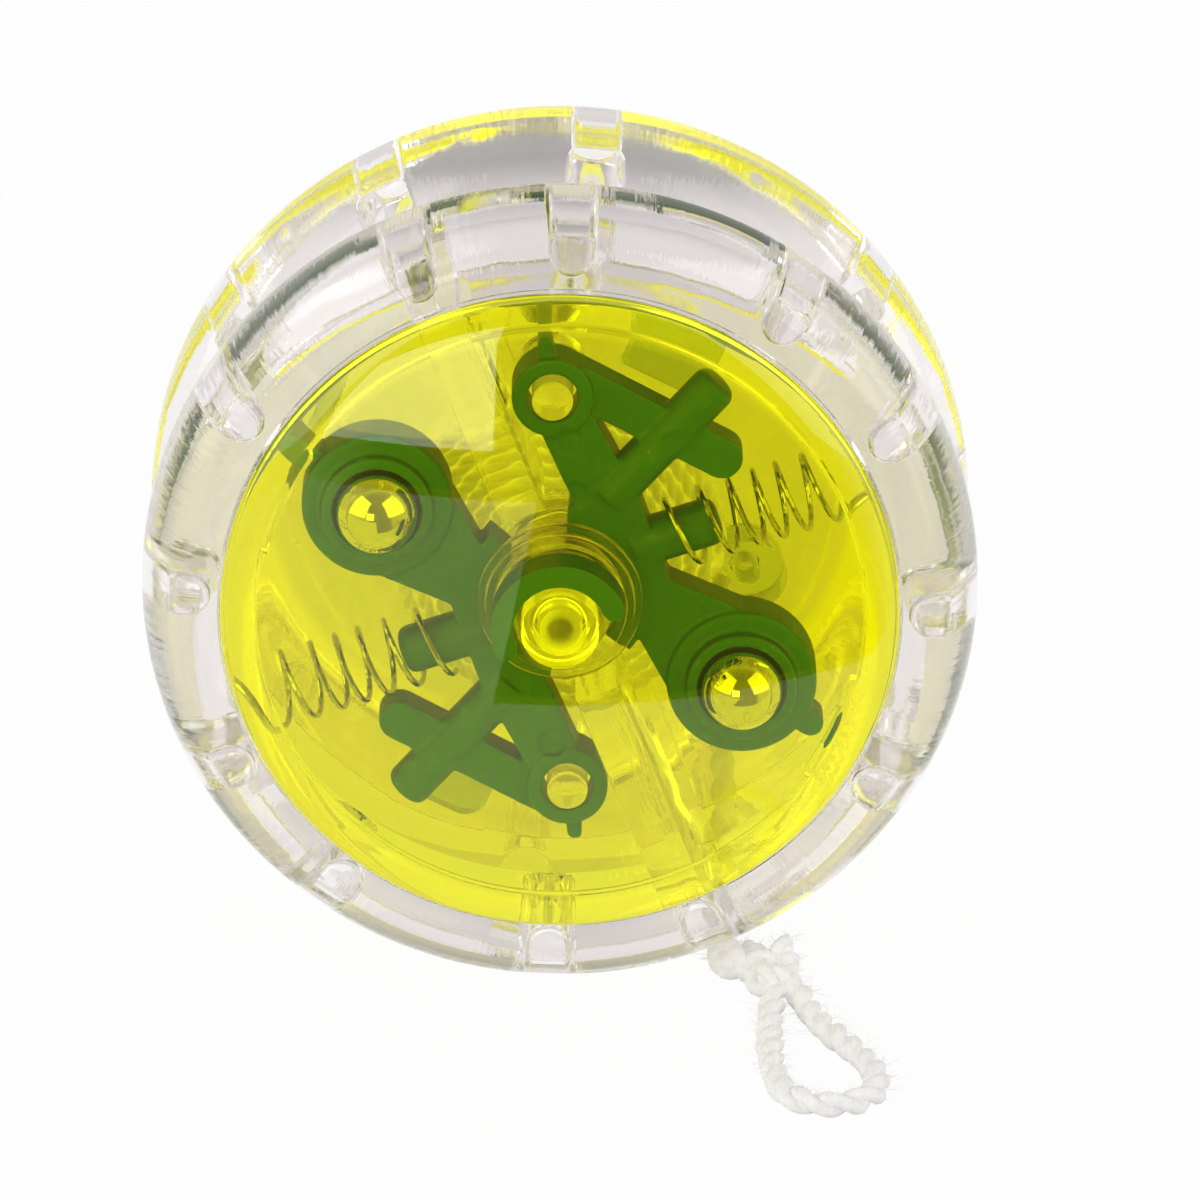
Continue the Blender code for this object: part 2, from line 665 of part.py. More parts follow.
def arm_mesh():
    """The right clutch arm, about its own pivot."""
    ring = [(0.0, RING_HIGH), (RING_RADIUS, RING_HIGH), (RING_RADIUS, RING_LOW), (0.0, RING_LOW)]
    holder = [
        (0.0, COLLAR_HIGH),
        (COLLAR_RADIUS, COLLAR_HIGH),
        (COLLAR_RADIUS, HOLDER_HIGH),
        (HOLDER_RADIUS - HOLDER_CHAMFER, HOLDER_HIGH),
        (HOLDER_RADIUS, HOLDER_HIGH - HOLDER_CHAMFER),
        (HOLDER_RADIUS, HOLDER_LOW),
        (0.0, HOLDER_LOW),
    ]
    peg_end = (
        PEG_START[0] + PEG_LENGTH * math.cos(math.radians(PEG_DEG)),
        PEG_START[1] + PEG_LENGTH * math.sin(math.radians(PEG_DEG)),
    )
    through = (ARM_LOW - 2 * MM, COLLAR_HIGH + 2 * MM)

    def drill(radius, place, low, high, sides):
        hole = [(0.0, high), (radius, high), (radius, low), (0.0, low)]
        return moved(turned(hole, sides), (*place, 0.0))

    def limb(start, start_radius, end, end_radius, low=ARM_LOW, high=ARM_HIGH):
        return prism(limb_outline(start, start_radius, end, end_radius), low, high)

    steps = [
        ("UNION", limb(JAW_TOP, JAW_TOP_RADIUS, JAW_END, JAW_END_RADIUS)),
        ("UNION", limb(JAW_END, JAW_END_RADIUS, BALL_PLACE, HOLDER_LIMB_RADIUS)),
        ("UNION", limb(BRACE_START, BRACE_RADIUS, BRACE_END, BRACE_RADIUS, BRACE_LOW, BRACE_HIGH)),
        ("UNION", limb(PIVOT, NIB_RADIUS, NIB_END, NIB_RADIUS, BRACE_LOW, BRACE_HIGH)),
        ("UNION", limb(BALL_PLACE, LUG_RADIUS, LUG_END, LUG_RADIUS, BRACE_LOW, BRACE_HIGH)),
        ("UNION", moved(turned(ring, 24), (*PIVOT, 0.0))),
        ("UNION", moved(turned(holder, 32), (*BALL_PLACE, 0.0))),
        ("UNION", rod(ROD_START, ROD_END, ROD_RADIUS, ROD_HEIGHT)),
        ("UNION", rod(PEG_START, peg_end, PEG_RADIUS, SPRING_HEIGHT)),
        ("DIFFERENCE", drill(JAW_CLEARANCE, (0.0, 0.0), *through, 36)),
        ("DIFFERENCE", drill(PIVOT_HOLE_RADIUS, PIVOT, *through, 20)),
        ("DIFFERENCE", drill(BORE_RADIUS, BALL_PLACE, BORE_FLOOR, COLLAR_HIGH + MM, 24)),
    ]
    mesh = combined("clutch_arm", limb(PIVOT, STRUT_RADIUS, JAW_TOP, JAW_TOP_RADIUS), steps)
    mesh.transform(Matrix.Translation((-PIVOT[0], -PIVOT[1], 0.0)))
    return mesh


def ball_mesh():
    shape = bmesh.new()
    bmesh.ops.create_uvsphere(shape, u_segments=18, v_segments=10, radius=BALL_RADIUS)
    return finished(shape, "ball_weight")


def least_gap(points, radius, apart):
    """The least gap between a tube and itself, on points more than a stretch of the tube apart."""
    along = [0.0]
    for a, b in zip(points, points[1:]):
        along.append(along[-1] + (Vector(b) - Vector(a)).length)
    least = math.inf
    for i, a in enumerate(points):
        for j in range(i + 1, len(points)):
            if along[j] - along[i] > apart:
                least = min(least, (Vector(points[j]) - Vector(a)).length)
    return least - 2 * radius


def tube(name, points, radius, rings):
    """A round tube with closed ends along points."""
    curve = bpy.data.curves.new(name, "CURVE")
    curve.dimensions = "3D"
    curve.bevel_depth = radius
    curve.bevel_resolution = rings
    curve.use_fill_caps = True
    spline = curve.splines.new("POLY")
    spline.points.add(len(points) - 1)
    for point, place in zip(spline.points, points):
        point.co = (*place, 1.0)
    return curve


def spring_points():
    """The right spring's wire, about the start of its peg."""
    heading = math.radians(PEG_DEG)
    along = Vector((math.cos(heading), math.sin(heading), 0.0))
    across = Vector((-along.y, along.x, 0.0))
    up = Vector((0.0, 0.0, 1.0))
    middle = Vector((PEG_START[0], PEG_START[1], SPRING_HEIGHT))
    lead = 2 * SPRING_WIRE_RADIUS
    count = SPRING_TURNS * SPRING_POINTS_PER_TURN
    first = SPRING_START + lead
    length = SPRING_END - SPRING_START - 2 * lead
    points = []
    for i in range(count + 1):
        angle = 2 * math.pi * i / SPRING_POINTS_PER_TURN
        around = across * math.cos(angle) + up * math.sin(angle)
        points.append(middle + along * (first + length * i / count) + around * SPRING_COIL_RADIUS)
    return [points[0] - along * lead, *points, points[-1] + along * lead]


def make_clutch(frame):
    """Both arms with their balls and springs: the right one, and the same turned half round."""
    arm = arm_mesh()
    ball = ball_mesh()
    points = spring_points()
    coil = 2 * math.pi * SPRING_COIL_RADIUS
    gap = least_gap(points, SPRING_WIRE_RADIUS, coil / 2)
    print(f"clutch spring, least gap to itself {gap / MM:.2f} mm")
    for side, half_turn in (("right", 0.0), ("left", math.pi)):
        sign = math.cos(half_turn)
        turn = (0.0, 0.0, half_turn)
        pivot = (sign * PIVOT[0], sign * PIVOT[1], 0.0)
        place = (sign * BALL_PLACE[0], sign * BALL_PLACE[1], BALL_HEIGHT)
        carrier = add_object("clutch_arm_" + side, arm, GREEN, frame, pivot, turn)
        weight = add_object("ball_weight_" + side, ball, STEEL, carrier)
        offset = Vector(BALL_PLACE) - Vector(PIVOT)
        weight.location = (offset.x, offset.y, place[2])
        wire = tube("clutch_spring_" + side, points, SPRING_WIRE_RADIUS, 1)
        add_object("clutch_spring_" + side, wire, STEEL, frame, turn=turn)


def winding_points():
    """The outer string turns, clockwise seen from the front, ending at +x on the way down."""
    total = 2 * math.pi * TURNS
    cross_start = total - 2 * math.pi + math.radians(CROSS_MARGIN_DEG)
    cross_sweep = math.radians(CROSS_DEG)
    count = round(TURN_POINTS * TURNS)
    points = []
    for i in range(count + 1):
        wound = total * i / count
        crossed = min(max((wound - cross_start) / cross_sweep, 0.0), 1.0)
        ease = crossed * crossed * (3 - 2 * crossed)
        angle = total - wound
        offset = TURN_OFFSET * (2 * ease - 1)
        points.append((TURN_RADIUS * math.cos(angle), TURN_RADIUS * math.sin(angle), offset))
    lead = 2 * TURN_TUBE_RADIUS
    first = Vector(points[0])
    before = (first - Vector(points[1])).normalized() * lead
    last = Vector(points[-1]) + Vector((0.0, -lead, 0.0))
    return [tuple(first + before), *points, tuple(last)]


def smooth_route(points, step):
    """Points about a step apart along a smooth curve through a route's points."""
    ends = [2 * points[0] - points[1], *points, 2 * points[-1] - points[-2]]
    dense = []
    for a, b, c, d in zip(ends, ends[1:], ends[2:], ends[3:]):
        for i in range(40):
            t = i / 40
            bend = (2 * a - 5 * b + 4 * c - d) * t * t + (3 * b - a - 3 * c + d) * t**3
            dense.append(b + ((c - a) * t + bend) / 2)
    dense.append(points[-1])
    along = [0.0]
    for a, b in zip(dense, dense[1:]):
        along.append(along[-1] + (b - a).length)
    count = max(2, round(along[-1] / step))
    route = []
    for i in range(count + 1):
        target = along[-1] * i / count
        nearest = min(range(len(dense)), key=lambda k: abs(along[k] - target))
        route.append(dense[nearest])
    return route


def make_string(frame):
    """The wound string on the spool, and its free end with the finger loop on the table."""
    core = [
        (CORE_OUTER_RADIUS, CORE_HALF_WIDTH),
        (CORE_OUTER_RADIUS, -CORE_HALF_WIDTH),
        (CORE_INNER_RADIUS, -CORE_HALF_WIDTH),
        (CORE_INNER_RADIUS, CORE_HALF_WIDTH),
    ]
    add_object("string_core", finished(turned(core, 40), "string_core"), COTTON, frame)

    turns = winding_points()
    gap = least_gap(turns, TURN_TUBE_RADIUS, math.pi * TURN_RADIUS)
    print(f"string winding, least gap to itself {gap / MM:.2f} mm")
    add_object("string_winding", tube("string_winding", turns, TURN_TUBE_RADIUS, 1), COTTON, frame)

    tail = [Vector((x, up - AXIS_HEIGHT / MM, front)) * MM for x, up, front in TAIL_ROUTE_MM]
    tail = smooth_route(tail, ROUTE_STEP)
    add_object("string_tail", tube("string_tail", tail, STRING_RADIUS, 2), COTTON, frame)

    lying = STRING_RADIUS + FLOOR_CLEARANCE - AXIS_HEIGHT
    loop = [Vector((x * MM, lying, front * MM)) for x, front in LOOP_ROUTE_MM]
    loop = smooth_route(loop, LOOP_STEP)
    add_object("finger_loop", tube("finger_loop", loop, STRING_RADIUS, 2), COTTON, frame)

    shape = bmesh.new()
    bmesh.ops.create_uvsphere(shape, u_segments=16, v_segments=10, radius=0.5)
    size = Matrix.Diagonal((KNOT_WIDTH, KNOT_THICKNESS, KNOT_LENGTH, 1.0))
    turn = Matrix.Rotation(math.radians(KNOT_TURN_DEG), 4, "Y")
    bmesh.ops.transform(shape, matrix=turn @ size, verts=shape.verts)
    height = KNOT_THICKNESS / 2 + FLOOR_CLEARANCE - AXIS_HEIGHT
    place = (KNOT_CENTRE[0], height, KNOT_CENTRE[1])
    add_object("finger_knot", finished(shape, "finger_knot"), COTTON, frame, place)


def main():
    clear_scene()
    frame = bpy.data.objects.new("axle_frame", None)
    bpy.context.scene.collection.objects.link(frame)
    frame.location = (0.0, 0.0, AXIS_HEIGHT)
    frame.rotation_euler = (math.pi / 2, 0.0, 0.0)
    make_front_shell(frame)
    make_rear_shell(frame)
    make_caps(frame)
    make_axle(frame)
    make_spool(frame)
    make_clutch(frame)
    make_string(frame)


main()
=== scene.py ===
# %% [markdown]
# # A clear clutch yo-yo
# The toy stands on its two rims with its axle level, and its clutch side faces us. Two clear shells are
# closed by fluorescent yellow caps. Behind the front cap two green arms with steel balls grip the drum of
# the string spool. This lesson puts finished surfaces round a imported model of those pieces: the packed
# model says where everything is, and each cell below makes one piece or one finish to go there.

import math
import random

import bmesh
import bpy
import numpy as np
from mathutils import Matrix, Vector


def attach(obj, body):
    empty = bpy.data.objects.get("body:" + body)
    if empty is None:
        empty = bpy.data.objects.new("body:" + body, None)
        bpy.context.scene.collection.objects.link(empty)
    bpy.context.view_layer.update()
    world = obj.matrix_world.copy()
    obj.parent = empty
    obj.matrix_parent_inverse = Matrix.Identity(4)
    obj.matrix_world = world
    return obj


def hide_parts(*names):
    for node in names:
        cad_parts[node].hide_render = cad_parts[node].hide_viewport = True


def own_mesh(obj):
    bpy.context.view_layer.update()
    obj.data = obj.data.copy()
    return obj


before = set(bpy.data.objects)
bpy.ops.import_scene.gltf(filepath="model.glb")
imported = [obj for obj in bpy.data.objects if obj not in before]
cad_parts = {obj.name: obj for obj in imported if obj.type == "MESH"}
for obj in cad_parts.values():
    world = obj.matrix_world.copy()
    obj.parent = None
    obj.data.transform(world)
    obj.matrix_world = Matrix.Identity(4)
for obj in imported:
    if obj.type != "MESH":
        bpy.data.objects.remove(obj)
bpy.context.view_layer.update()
MM = 0.001

# %% [markdown]
# ## The axle's own frame
# Nearly every piece is round about the axle or lies flat across it, so all of them are drawn in the axle's
# frame: x to the right, y up, and s along the axle towards us. One matrix then stands the finished shape up.
# The axle is a little lower than the rim's radius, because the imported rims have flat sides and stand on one.

# %% Axle frame
RIM_RADIUS = 28.5
PACKED_SIDES = 48
AXLE_HEIGHT = RIM_RADIUS * math.cos(math.pi / PACKED_SIDES) * MM
STAND_UP = Matrix.Translation((0, 0, AXLE_HEIGHT)) @ Matrix.Rotation(math.pi / 2, 4, "X") @ Matrix.Scale(MM, 4)
print(f"axle {AXLE_HEIGHT / MM:.2f} mm above the table")

# %% [markdown]
# ## Camera
# The photograph looks along the axle from about twenty degrees above it, from far enough away that the rear
# rim is hardly smaller than the front one. A long lens at that distance, with a small shift so that the toy
# sits left of the middle and the string has room, gives the same ovals.

# %% Camera
VIEW_ABOVE_DEG = 21.5
VIEW_DISTANCE = 0.631
LENS_PIXELS = 9144.0
FRAME_PIXELS = 1200.0
AXLE_PIXEL = (560.0, 540.0)

above = math.radians(VIEW_ABOVE_DEG)
lens = bpy.data.cameras.new("camera")
camera = bpy.data.objects.new("camera", lens)
bpy.context.scene.collection.objects.link(camera)
camera.location = (0, -VIEW_DISTANCE * math.cos(above), AXLE_HEIGHT + VIEW_DISTANCE * math.sin(above))
camera.rotation_euler = (math.pi / 2 - above, 0, 0)
lens.sensor_width = 36.0
lens.lens = 36.0 * LENS_PIXELS / FRAME_PIXELS
lens.clip_start = 0.01
lens.shift_x = (FRAME_PIXELS / 2 - AXLE_PIXEL[0]) / FRAME_PIXELS
lens.shift_y = (AXLE_PIXEL[1] - FRAME_PIXELS / 2) / FRAME_PIXELS
bpy.context.scene.camera = camera
print(f"lens {lens.lens:.0f} mm, shift {lens.shift_x:.3f} {lens.shift_y:.3f}")

# %% [markdown]
# ## Shader maths
# A finish is a small tree of nodes, and long trees are hard to read as links. Wire holds one socket and
# takes plain arithmetic, so that `0.3 + 0.1 * grain` adds its own Math nodes. Every other node comes from
# one method, which sets the node's settings first and then feeds its sockets.

# %% Wire
class Wire:
    def __init__(self, tree, socket=None):
        self.tree = tree
        self.socket = socket

    def node(self, kind, settings=None, sockets=None, out=0):
        made = self.tree.nodes.new(kind)
        for name, value in (settings or {}).items():
            if name == "stops":
                self.set_stops(made.color_ramp, value)
            else:
                setattr(made, name, value)
        for name, value in (sockets or {}).items():
            self.feed(made.inputs[name], value)
        return Wire(self.tree, made.outputs[out])

    def feed(self, socket, value):
        if isinstance(value, Wire):
            self.tree.links.new(value.socket, socket)
        else:
            socket.default_value = value

    def set_stops(self, ramp, stops):
        while len(ramp.elements) < len(stops):
            ramp.elements.new(0.5)
        for element, (place, shade) in zip(ramp.elements, stops):
            element.position = place
            element.color = (*shade, 1.0)

    def maths(self, operation, *values):
        return self.node("ShaderNodeMath", {"operation": operation}, dict(enumerate(values)))

    def __add__(self, other):
        return self.maths("ADD", self, other)

    def __sub__(self, other):
        return self.maths("SUBTRACT", self, other)

    def __rsub__(self, other):
        return self.maths("SUBTRACT", other, self)

    def __mul__(self, other):
        return self.maths("MULTIPLY", self, other)

    def __truediv__(self, other):
        return self.maths("DIVIDE", self, other)

    __radd__ = __add__
    __rmul__ = __mul__

    def between(self, low, high):
        """0 below low, 1 above high, and smooth from one to the other."""
        settings = {"interpolation_type": "SMOOTHSTEP"}
        return self.node("ShaderNodeMapRange", settings, {"Value": self, "From Min": low, "From Max": high})

    def blend(self, first, second):
        """The first colour where this is 0 and the second where it is 1."""
        settings = {"data_type": "RGBA"}
        return self.node("ShaderNodeMix", settings, {0: self, 6: first, 7: second}, out=2)


# %% [markdown]
# ## Starting a finish
# Each finish starts from one Principled shader with its plain numbers set, and hands back a Wire to build
# on. Noise and position come from the object's own coordinates in metres, so a scale of 1000 means detail
# of about a millimetre.

# %% Finish helpers
def start_finish(name, **plain):
    made = bpy.data.materials.new(name)
    made.use_nodes = True
    shader = made.node_tree.nodes["Principled BSDF"]
    for key, value in plain.items():
        shader.inputs[key.replace("_", " ").title().replace("Ior", "IOR")].default_value = value
    return made, shader, Wire(made.node_tree)


def place_of(wire):
    return wire.node("ShaderNodeTexCoord", out="Object")


def grain(wire, place, scale, detail=2.0, rough=0.5, stretch=None):
    """Noise from 0 to 1, with an optional stretch of the place it is read at."""
    if stretch:
        place = wire.node("ShaderNodeVectorMath", {"operation": "MULTIPLY"}, {0: place, 1: stretch})
    sockets = {"Vector": place, "Scale": scale, "Detail": detail, "Roughness": rough}
    return wire.node("ShaderNodeTexNoise", None, sockets, out="Fac")


def from_axle(wire, place):
    """Distance from the axle and angle round it, in metres and radians."""
    parts = wire.node("ShaderNodeSeparateXYZ", None, {0: place})
    across = Wire(wire.tree, parts.socket.node.outputs["X"])
    along = Wire(wire.tree, parts.socket.node.outputs["Y"])
    up = Wire(wire.tree, parts.socket.node.outputs["Z"]) - AXLE_HEIGHT
    radius = wire.maths("SQRT", across * across + up * up)
    return radius, wire.maths("ARCTAN2", up, across), along


def set_bump(wire, shader, height, strength, distance):
    sockets = {"Height": height, "Strength": strength, "Distance": distance}
    wire.feed(shader.inputs["Normal"], wire.node("ShaderNodeBump", None, sockets, out="Normal"))


def let_lamps_through(made, wire, tint):
    """Clear plastic lights what is behind it: rays from lamps pass it, tinted half way by each of its faces."""
    shader = made.node_tree.nodes["Principled BSDF"]
    output = made.node_tree.nodes["Material Output"]
    path = wire.node("ShaderNodeLightPath", out="Is Shadow Ray")
    face_tint = [math.sqrt(part) for part in tint]
    open_side = wire.node("ShaderNodeBsdfTransparent", None, {"Color": (*face_tint, 1.0)})
    solid_side = Wire(wire.tree, shader.outputs["BSDF"])
    mixed = wire.node("ShaderNodeMixShader", None, {0: path, 1: solid_side, 2: open_side})
    wire.feed(output.inputs["Surface"], mixed)


# %% [markdown]
# ## Clear moulded plastic
# The shells and the spool are polystyrene, polished in the mould. Real clear plastic is never quite even:
# handling leaves a faint haze, and the mould leaves fine streaks that run along the axle. Both are small
# changes of roughness and height on a shader that refracts.

# %% Clear plastic
STOP_PLACE, STOP_REACH = (7.4, 15.2), 3.5
BOSS_PLACE, BOSS_REACH = (13.5, -3.5), 2.7
THICK_FROM, THICK_FULL = 4.1 * MM, 4.3 * MM
# Painted shade: darker olive tints for the clear plastic round the stops and the bosses.
STOP_PAINTED_SHADE, BOSS_PAINTED_SHADE = (0.34, 0.44, 0.12, 1.0), (0.55, 0.62, 0.36, 1.0)


def beside(wire, place, spot, reach):
    """1 near either of two lines along the axle, through a spot and the one half a turn from it."""
    across, along, up = wire.node("ShaderNodeSeparateXYZ", None, {0: place}).socket.node.outputs
    near = 0.0
    for sign in (1, -1):
        sideways = Wire(wire.tree, across) - sign * spot[0] * MM
        upwards = Wire(wire.tree, up) - (AXLE_HEIGHT + sign * spot[1] * MM)
        away = wire.maths("SQRT", sideways * sideways + upwards * upwards)
        near = near + (1 - away.between(reach * MM, (reach + 0.3) * MM))
    return near


def clear_plastic(name, tint, haze, streak):
    made, shader, wire = start_finish(name, transmission_weight=1.0, ior=1.52)
    place = place_of(wire)
    radius, angle, along = from_axle(wire, place)
    # Painted shade: near the front shell's stops and the rear shell's bosses the clear plastic is tinted a darker
    # olive.
    stop = beside(wire, place, STOP_PLACE, STOP_REACH) * (0 - along).between(THICK_FROM, THICK_FULL)
    boss = beside(wire, place, BOSS_PLACE, BOSS_REACH) * along.between(THICK_FROM, THICK_FULL)
    shade = boss.blend(stop.blend((*tint, 1.0), STOP_PAINTED_SHADE), BOSS_PAINTED_SHADE)
    wire.feed(shader.inputs["Base Color"], shade)
    smudge = grain(wire, place, 140.0, 3.0).between(0.45, 0.8)
    scuff = grain(wire, place, 900.0, 2.0, stretch=(1.0, 0.15, 1.0)).between(0.62, 0.75)
    rim = radius.between(0.0233, 0.0245)
    wire.feed(shader.inputs["Roughness"], 0.015 + haze * (smudge + 0.5 * scuff + 0.9 * rim))
    round_it = wire.node("ShaderNodeCombineXYZ", None, {0: angle, 1: radius * 4.0, 2: along * 2.5})
    streaks = grain(wire, round_it, 60.0, 2.0) * (0.15 + 0.85 * radius.between(0.0235, 0.026))
    ripple = grain(wire, place, 260.0, 1.0)
    set_bump(wire, shader, streak * streaks + 0.2 * ripple, 0.22, 0.0002)
    let_lamps_through(made, wire, tint)
    return made


SHELL_CLEAR = clear_plastic("clear_polystyrene", (0.93, 0.905, 0.90), 0.05, 0.8)
SPOOL_CLEAR = clear_plastic("clear_spool_plastic", (0.93, 0.93, 0.9), 0.08, 0.3)
print("clear plastics:", SHELL_CLEAR.name, SPOOL_CLEAR.name)

# %% [markdown]
# ## Fluorescent yellow caps
# A fluorescent dye gathers light over the whole face and sends it out at the edges, so the thick edge ring
# and the boss over the axle glow while the thin face only tints what is behind it. That glow is real, but here it
# is painted light: a yellow emission, lit by no lamp, faint over the whole cap and growing towards the edge and
# round the boss.

# %% Fluorescent yellow
CAP_YELLOW = (0.865, 0.86, 0.012)
CAP_PALE = (0.93, 0.92, 0.74)
CAP_GLOW = (0.80, 0.78, 0.0)


def fluorescent_cap(name, plate, edge_from, edge_glow):
    made, shader, wire = start_finish(name, transmission_weight=1.0, ior=1.5, emission_strength=1.0)
    place = place_of(wire)
    radius, angle, along = from_axle(wire, place)
    edge = radius.between(edge_from, edge_from + 0.0004)
    wire.feed(shader.inputs["Base Color"], edge.blend((*plate, 1.0), (*CAP_YELLOW, 1.0)))
    under_plate = 1 - wire.maths("ABSOLUTE", along).between(0.0162, 0.0166)
    boss = radius.between(0.0007, 0.0011) * (1 - radius.between(0.0026, 0.003)) * under_plate
    uneven = 0.8 + 0.4 * grain(wire, place, 180.0, 2.0)
    # Painted light: the emission, faint everywhere and strongest at the edge ring and round the boss.
    glow = (0.01 + edge_glow * edge + 0.30 * boss) * uneven
    wire.feed(shader.inputs["Emission Color"], glow.blend((0, 0, 0, 1), (*CAP_GLOW, 1.0)))
    smudge = grain(wire, place, 90.0, 3.0).between(0.5, 0.85)
    scratch = grain(wire, place, 2600.0, 2.0, stretch=(1.0, 1.0, 0.06)).between(0.68, 0.78)
    wire.feed(shader.inputs["Roughness"], 0.012 + 0.04 * smudge + 0.05 * scratch)
    set_bump(wire, shader, grain(wire, place, 120.0, 1.0), 0.06, 0.0002)
    let_lamps_through(made, wire, plate)
    return made


FRONT_YELLOW = fluorescent_cap("fluorescent_yellow", CAP_YELLOW, 0.0203, 0.09)
REAR_YELLOW = fluorescent_cap("edge_lit_yellow", CAP_PALE, 0.0214, 0.18)
print("cap finishes:", FRONT_YELLOW.name, REAR_YELLOW.name)

# %% [markdown]
# ## Green plastic, steel, brass and cotton
# The arms are a cheap glossy-satin moulding with flow marks and a few pale specks, with painted shade on their
# side walls and a painted highlight on their convex edges. The balls are polished, the spring wire is drawn, so its
# fine marks run one way, and the bush is turned brass. The string is bleached cotton: no gloss at all, with fibres
# that break up its surface. A whitener makes cotton glow faintly; here that glow is painted light, an emission lit
# by no lamp, stronger on the wound string to lift it out of the shade between the shells.

# %% Opaque finishes
def green_plastic():
    made, shader, wire = start_finish("moulded_green", specular_ior_level=0.45)
    place = place_of(wire)
    flow = grain(wire, place, 220.0, 3.0, 0.6)
    speck = grain(wire, place, 2300.0, 1.0).between(0.76, 0.8)
    shade = flow.blend((0.010, 0.145, 0.018, 1.0), (0.020, 0.20, 0.028, 1.0))
    # Painted shade: side walls, whose normals lie across the axle, are blended towards near-black green.
    facing = wire.node("ShaderNodeSeparateXYZ", None, {0: wire.node("ShaderNodeNewGeometry", out="Normal")}, out="Y")
    side = 1 - wire.maths("ABSOLUTE", facing).between(0.25, 0.8)
    shade = (0.8 * side).blend(shade, (0.004, 0.045, 0.005, 1.0))
    # Painted highlight: convex edges, found by their pointiness, are blended towards a paler green.
    bend = wire.node("ShaderNodeNewGeometry", out="Pointiness")
    shade = (0.4 * bend.between(0.51, 0.56)).blend(shade, (0.05, 0.26, 0.05, 1.0))
    wire.feed(shader.inputs["Base Color"], (0.35 * speck).blend(shade, (0.3, 0.42, 0.25, 1.0)))
    wire.feed(shader.inputs["Roughness"], 0.36 + 0.16 * flow)
    set_bump(wire, shader, grain(wire, place, 1500.0, 3.0, 0.6), 0.12, 0.0002)
    return made


def bright_steel(name, shade, rough, mark):
    made, shader, wire = start_finish(name, metallic=1.0)
    place = place_of(wire)
    drawn = grain(wire, place, 1800.0, 2.0)
    dull = grain(wire, place, 400.0, 2.0)
    pale = min(1.2 * shade, 1.0)
    wire.feed(shader.inputs["Base Color"], dull.blend((shade, shade, shade, 1.0), (pale, pale, pale, 1.0)))
    wire.feed(shader.inputs["Roughness"], rough + mark * drawn)
    return made


def turned_brass():
    made, shader, wire = start_finish("turned_brass", metallic=1.0)
    place = place_of(wire)
    rings = grain(wire, place, 2200.0, 2.0, stretch=(0.05, 1.0, 0.05))
    tarnish = grain(wire, place, 500.0, 3.0)
    wire.feed(shader.inputs["Base Color"], tarnish.blend((0.74, 0.60, 0.30, 1.0), (0.86, 0.73, 0.42, 1.0)))
    wire.feed(shader.inputs["Roughness"], 0.16 + 0.2 * rings)
    return made


def natural_nylon():
    made, shader, wire = start_finish("natural_nylon", transmission_weight=0.9, ior=1.5)
    place = place_of(wire)
    cloud = grain(wire, place, 500.0, 3.0)
    wire.feed(shader.inputs["Base Color"], cloud.blend((0.82, 0.82, 0.74, 1.0), (0.9, 0.9, 0.85, 1.0)))
    wire.feed(shader.inputs["Roughness"], 0.12 + 0.15 * cloud)
    return made


def bleached_cotton(name, painted_glow):
    # Painted light: the emission strength is a glow lit by no lamp.
    made, shader, wire = start_finish(
        name, roughness=0.95, specular_ior_level=0.1, sheen_weight=0.25, emission_strength=painted_glow
    )
    place = place_of(wire)
    fibre = grain(wire, place, 9000.0, 2.0, 0.7)
    lint = grain(wire, place, 1500.0, 3.0)
    shade = (0.6 * fibre + 0.4 * lint).between(0.25, 0.7)
    wire.feed(shader.inputs["Base Color"], shade.blend((0.72, 0.70, 0.69, 1.0), (0.92, 0.91, 0.905, 1.0)))
    set_bump(wire, shader, fibre, 0.5, 0.00006)
    return made


ARM_GREEN = green_plastic()
BALL_STEEL = bright_steel("ball_steel", 0.70, 0.03, 0.04)
WIRE_STEEL = bright_steel("drawn_steel", 0.55, 0.16, 0.16)
SPRING_STEEL = bright_steel("spring_steel", 0.48, 0.08, 0.10)
BUSH_BRASS = turned_brass()
WASHER_NYLON = natural_nylon()
# Painted light: both strings glow with an emission lit by no lamp, the wound one twice as much, to lift it out of
# the shade between the shells.
COTTON = bleached_cotton("bleached_cotton", 0.14)
WOUND_COTTON = bleached_cotton("wound_cotton", 0.28)
print("opaque finishes:", ARM_GREEN.name, BALL_STEEL.name, WIRE_STEEL.name, BUSH_BRASS.name, COTTON.name)

# %% [markdown]
# ## Shapes in the axle's frame
# Most pieces are turned: an outline of radius and height swept round the axle. A few are flat outlines given a
# thickness. Sharp corners in an outline are rounded first, because a real moulding has no sharp corners and
# the small rounds are what catch the light.

# %% Turning and cutting
FINE_SIDES = 144


ROUND_STEPS = 3
ROUND_POINTS = ROUND_STEPS + 1


def rounded(outline, radius, steps=ROUND_STEPS):
    """A closed outline with each corner replaced by a small curve no longer than a third of its sides."""
    soft = []
    for k, corner in enumerate(outline):
        before, after = Vector(outline[k - 1]), Vector(outline[(k + 1) % len(outline)])
        corner = Vector(corner)
        to_before, to_after = before - corner, after - corner
        reach = min(radius, to_before.length / 3, to_after.length / 3)
        on_axle = corner.x == 0
        if on_axle or reach < 1e-6 or to_before.angle(to_after) > math.radians(160):
            soft.append(tuple(corner))
            continue
        start = corner + to_before.normalized() * reach
        end = corner + to_after.normalized() * reach
        for i in range(steps + 1):
            t = i / steps
            soft.append(tuple(start * (1 - t) ** 2 + corner * 2 * t * (1 - t) + end * t * t))
    return soft


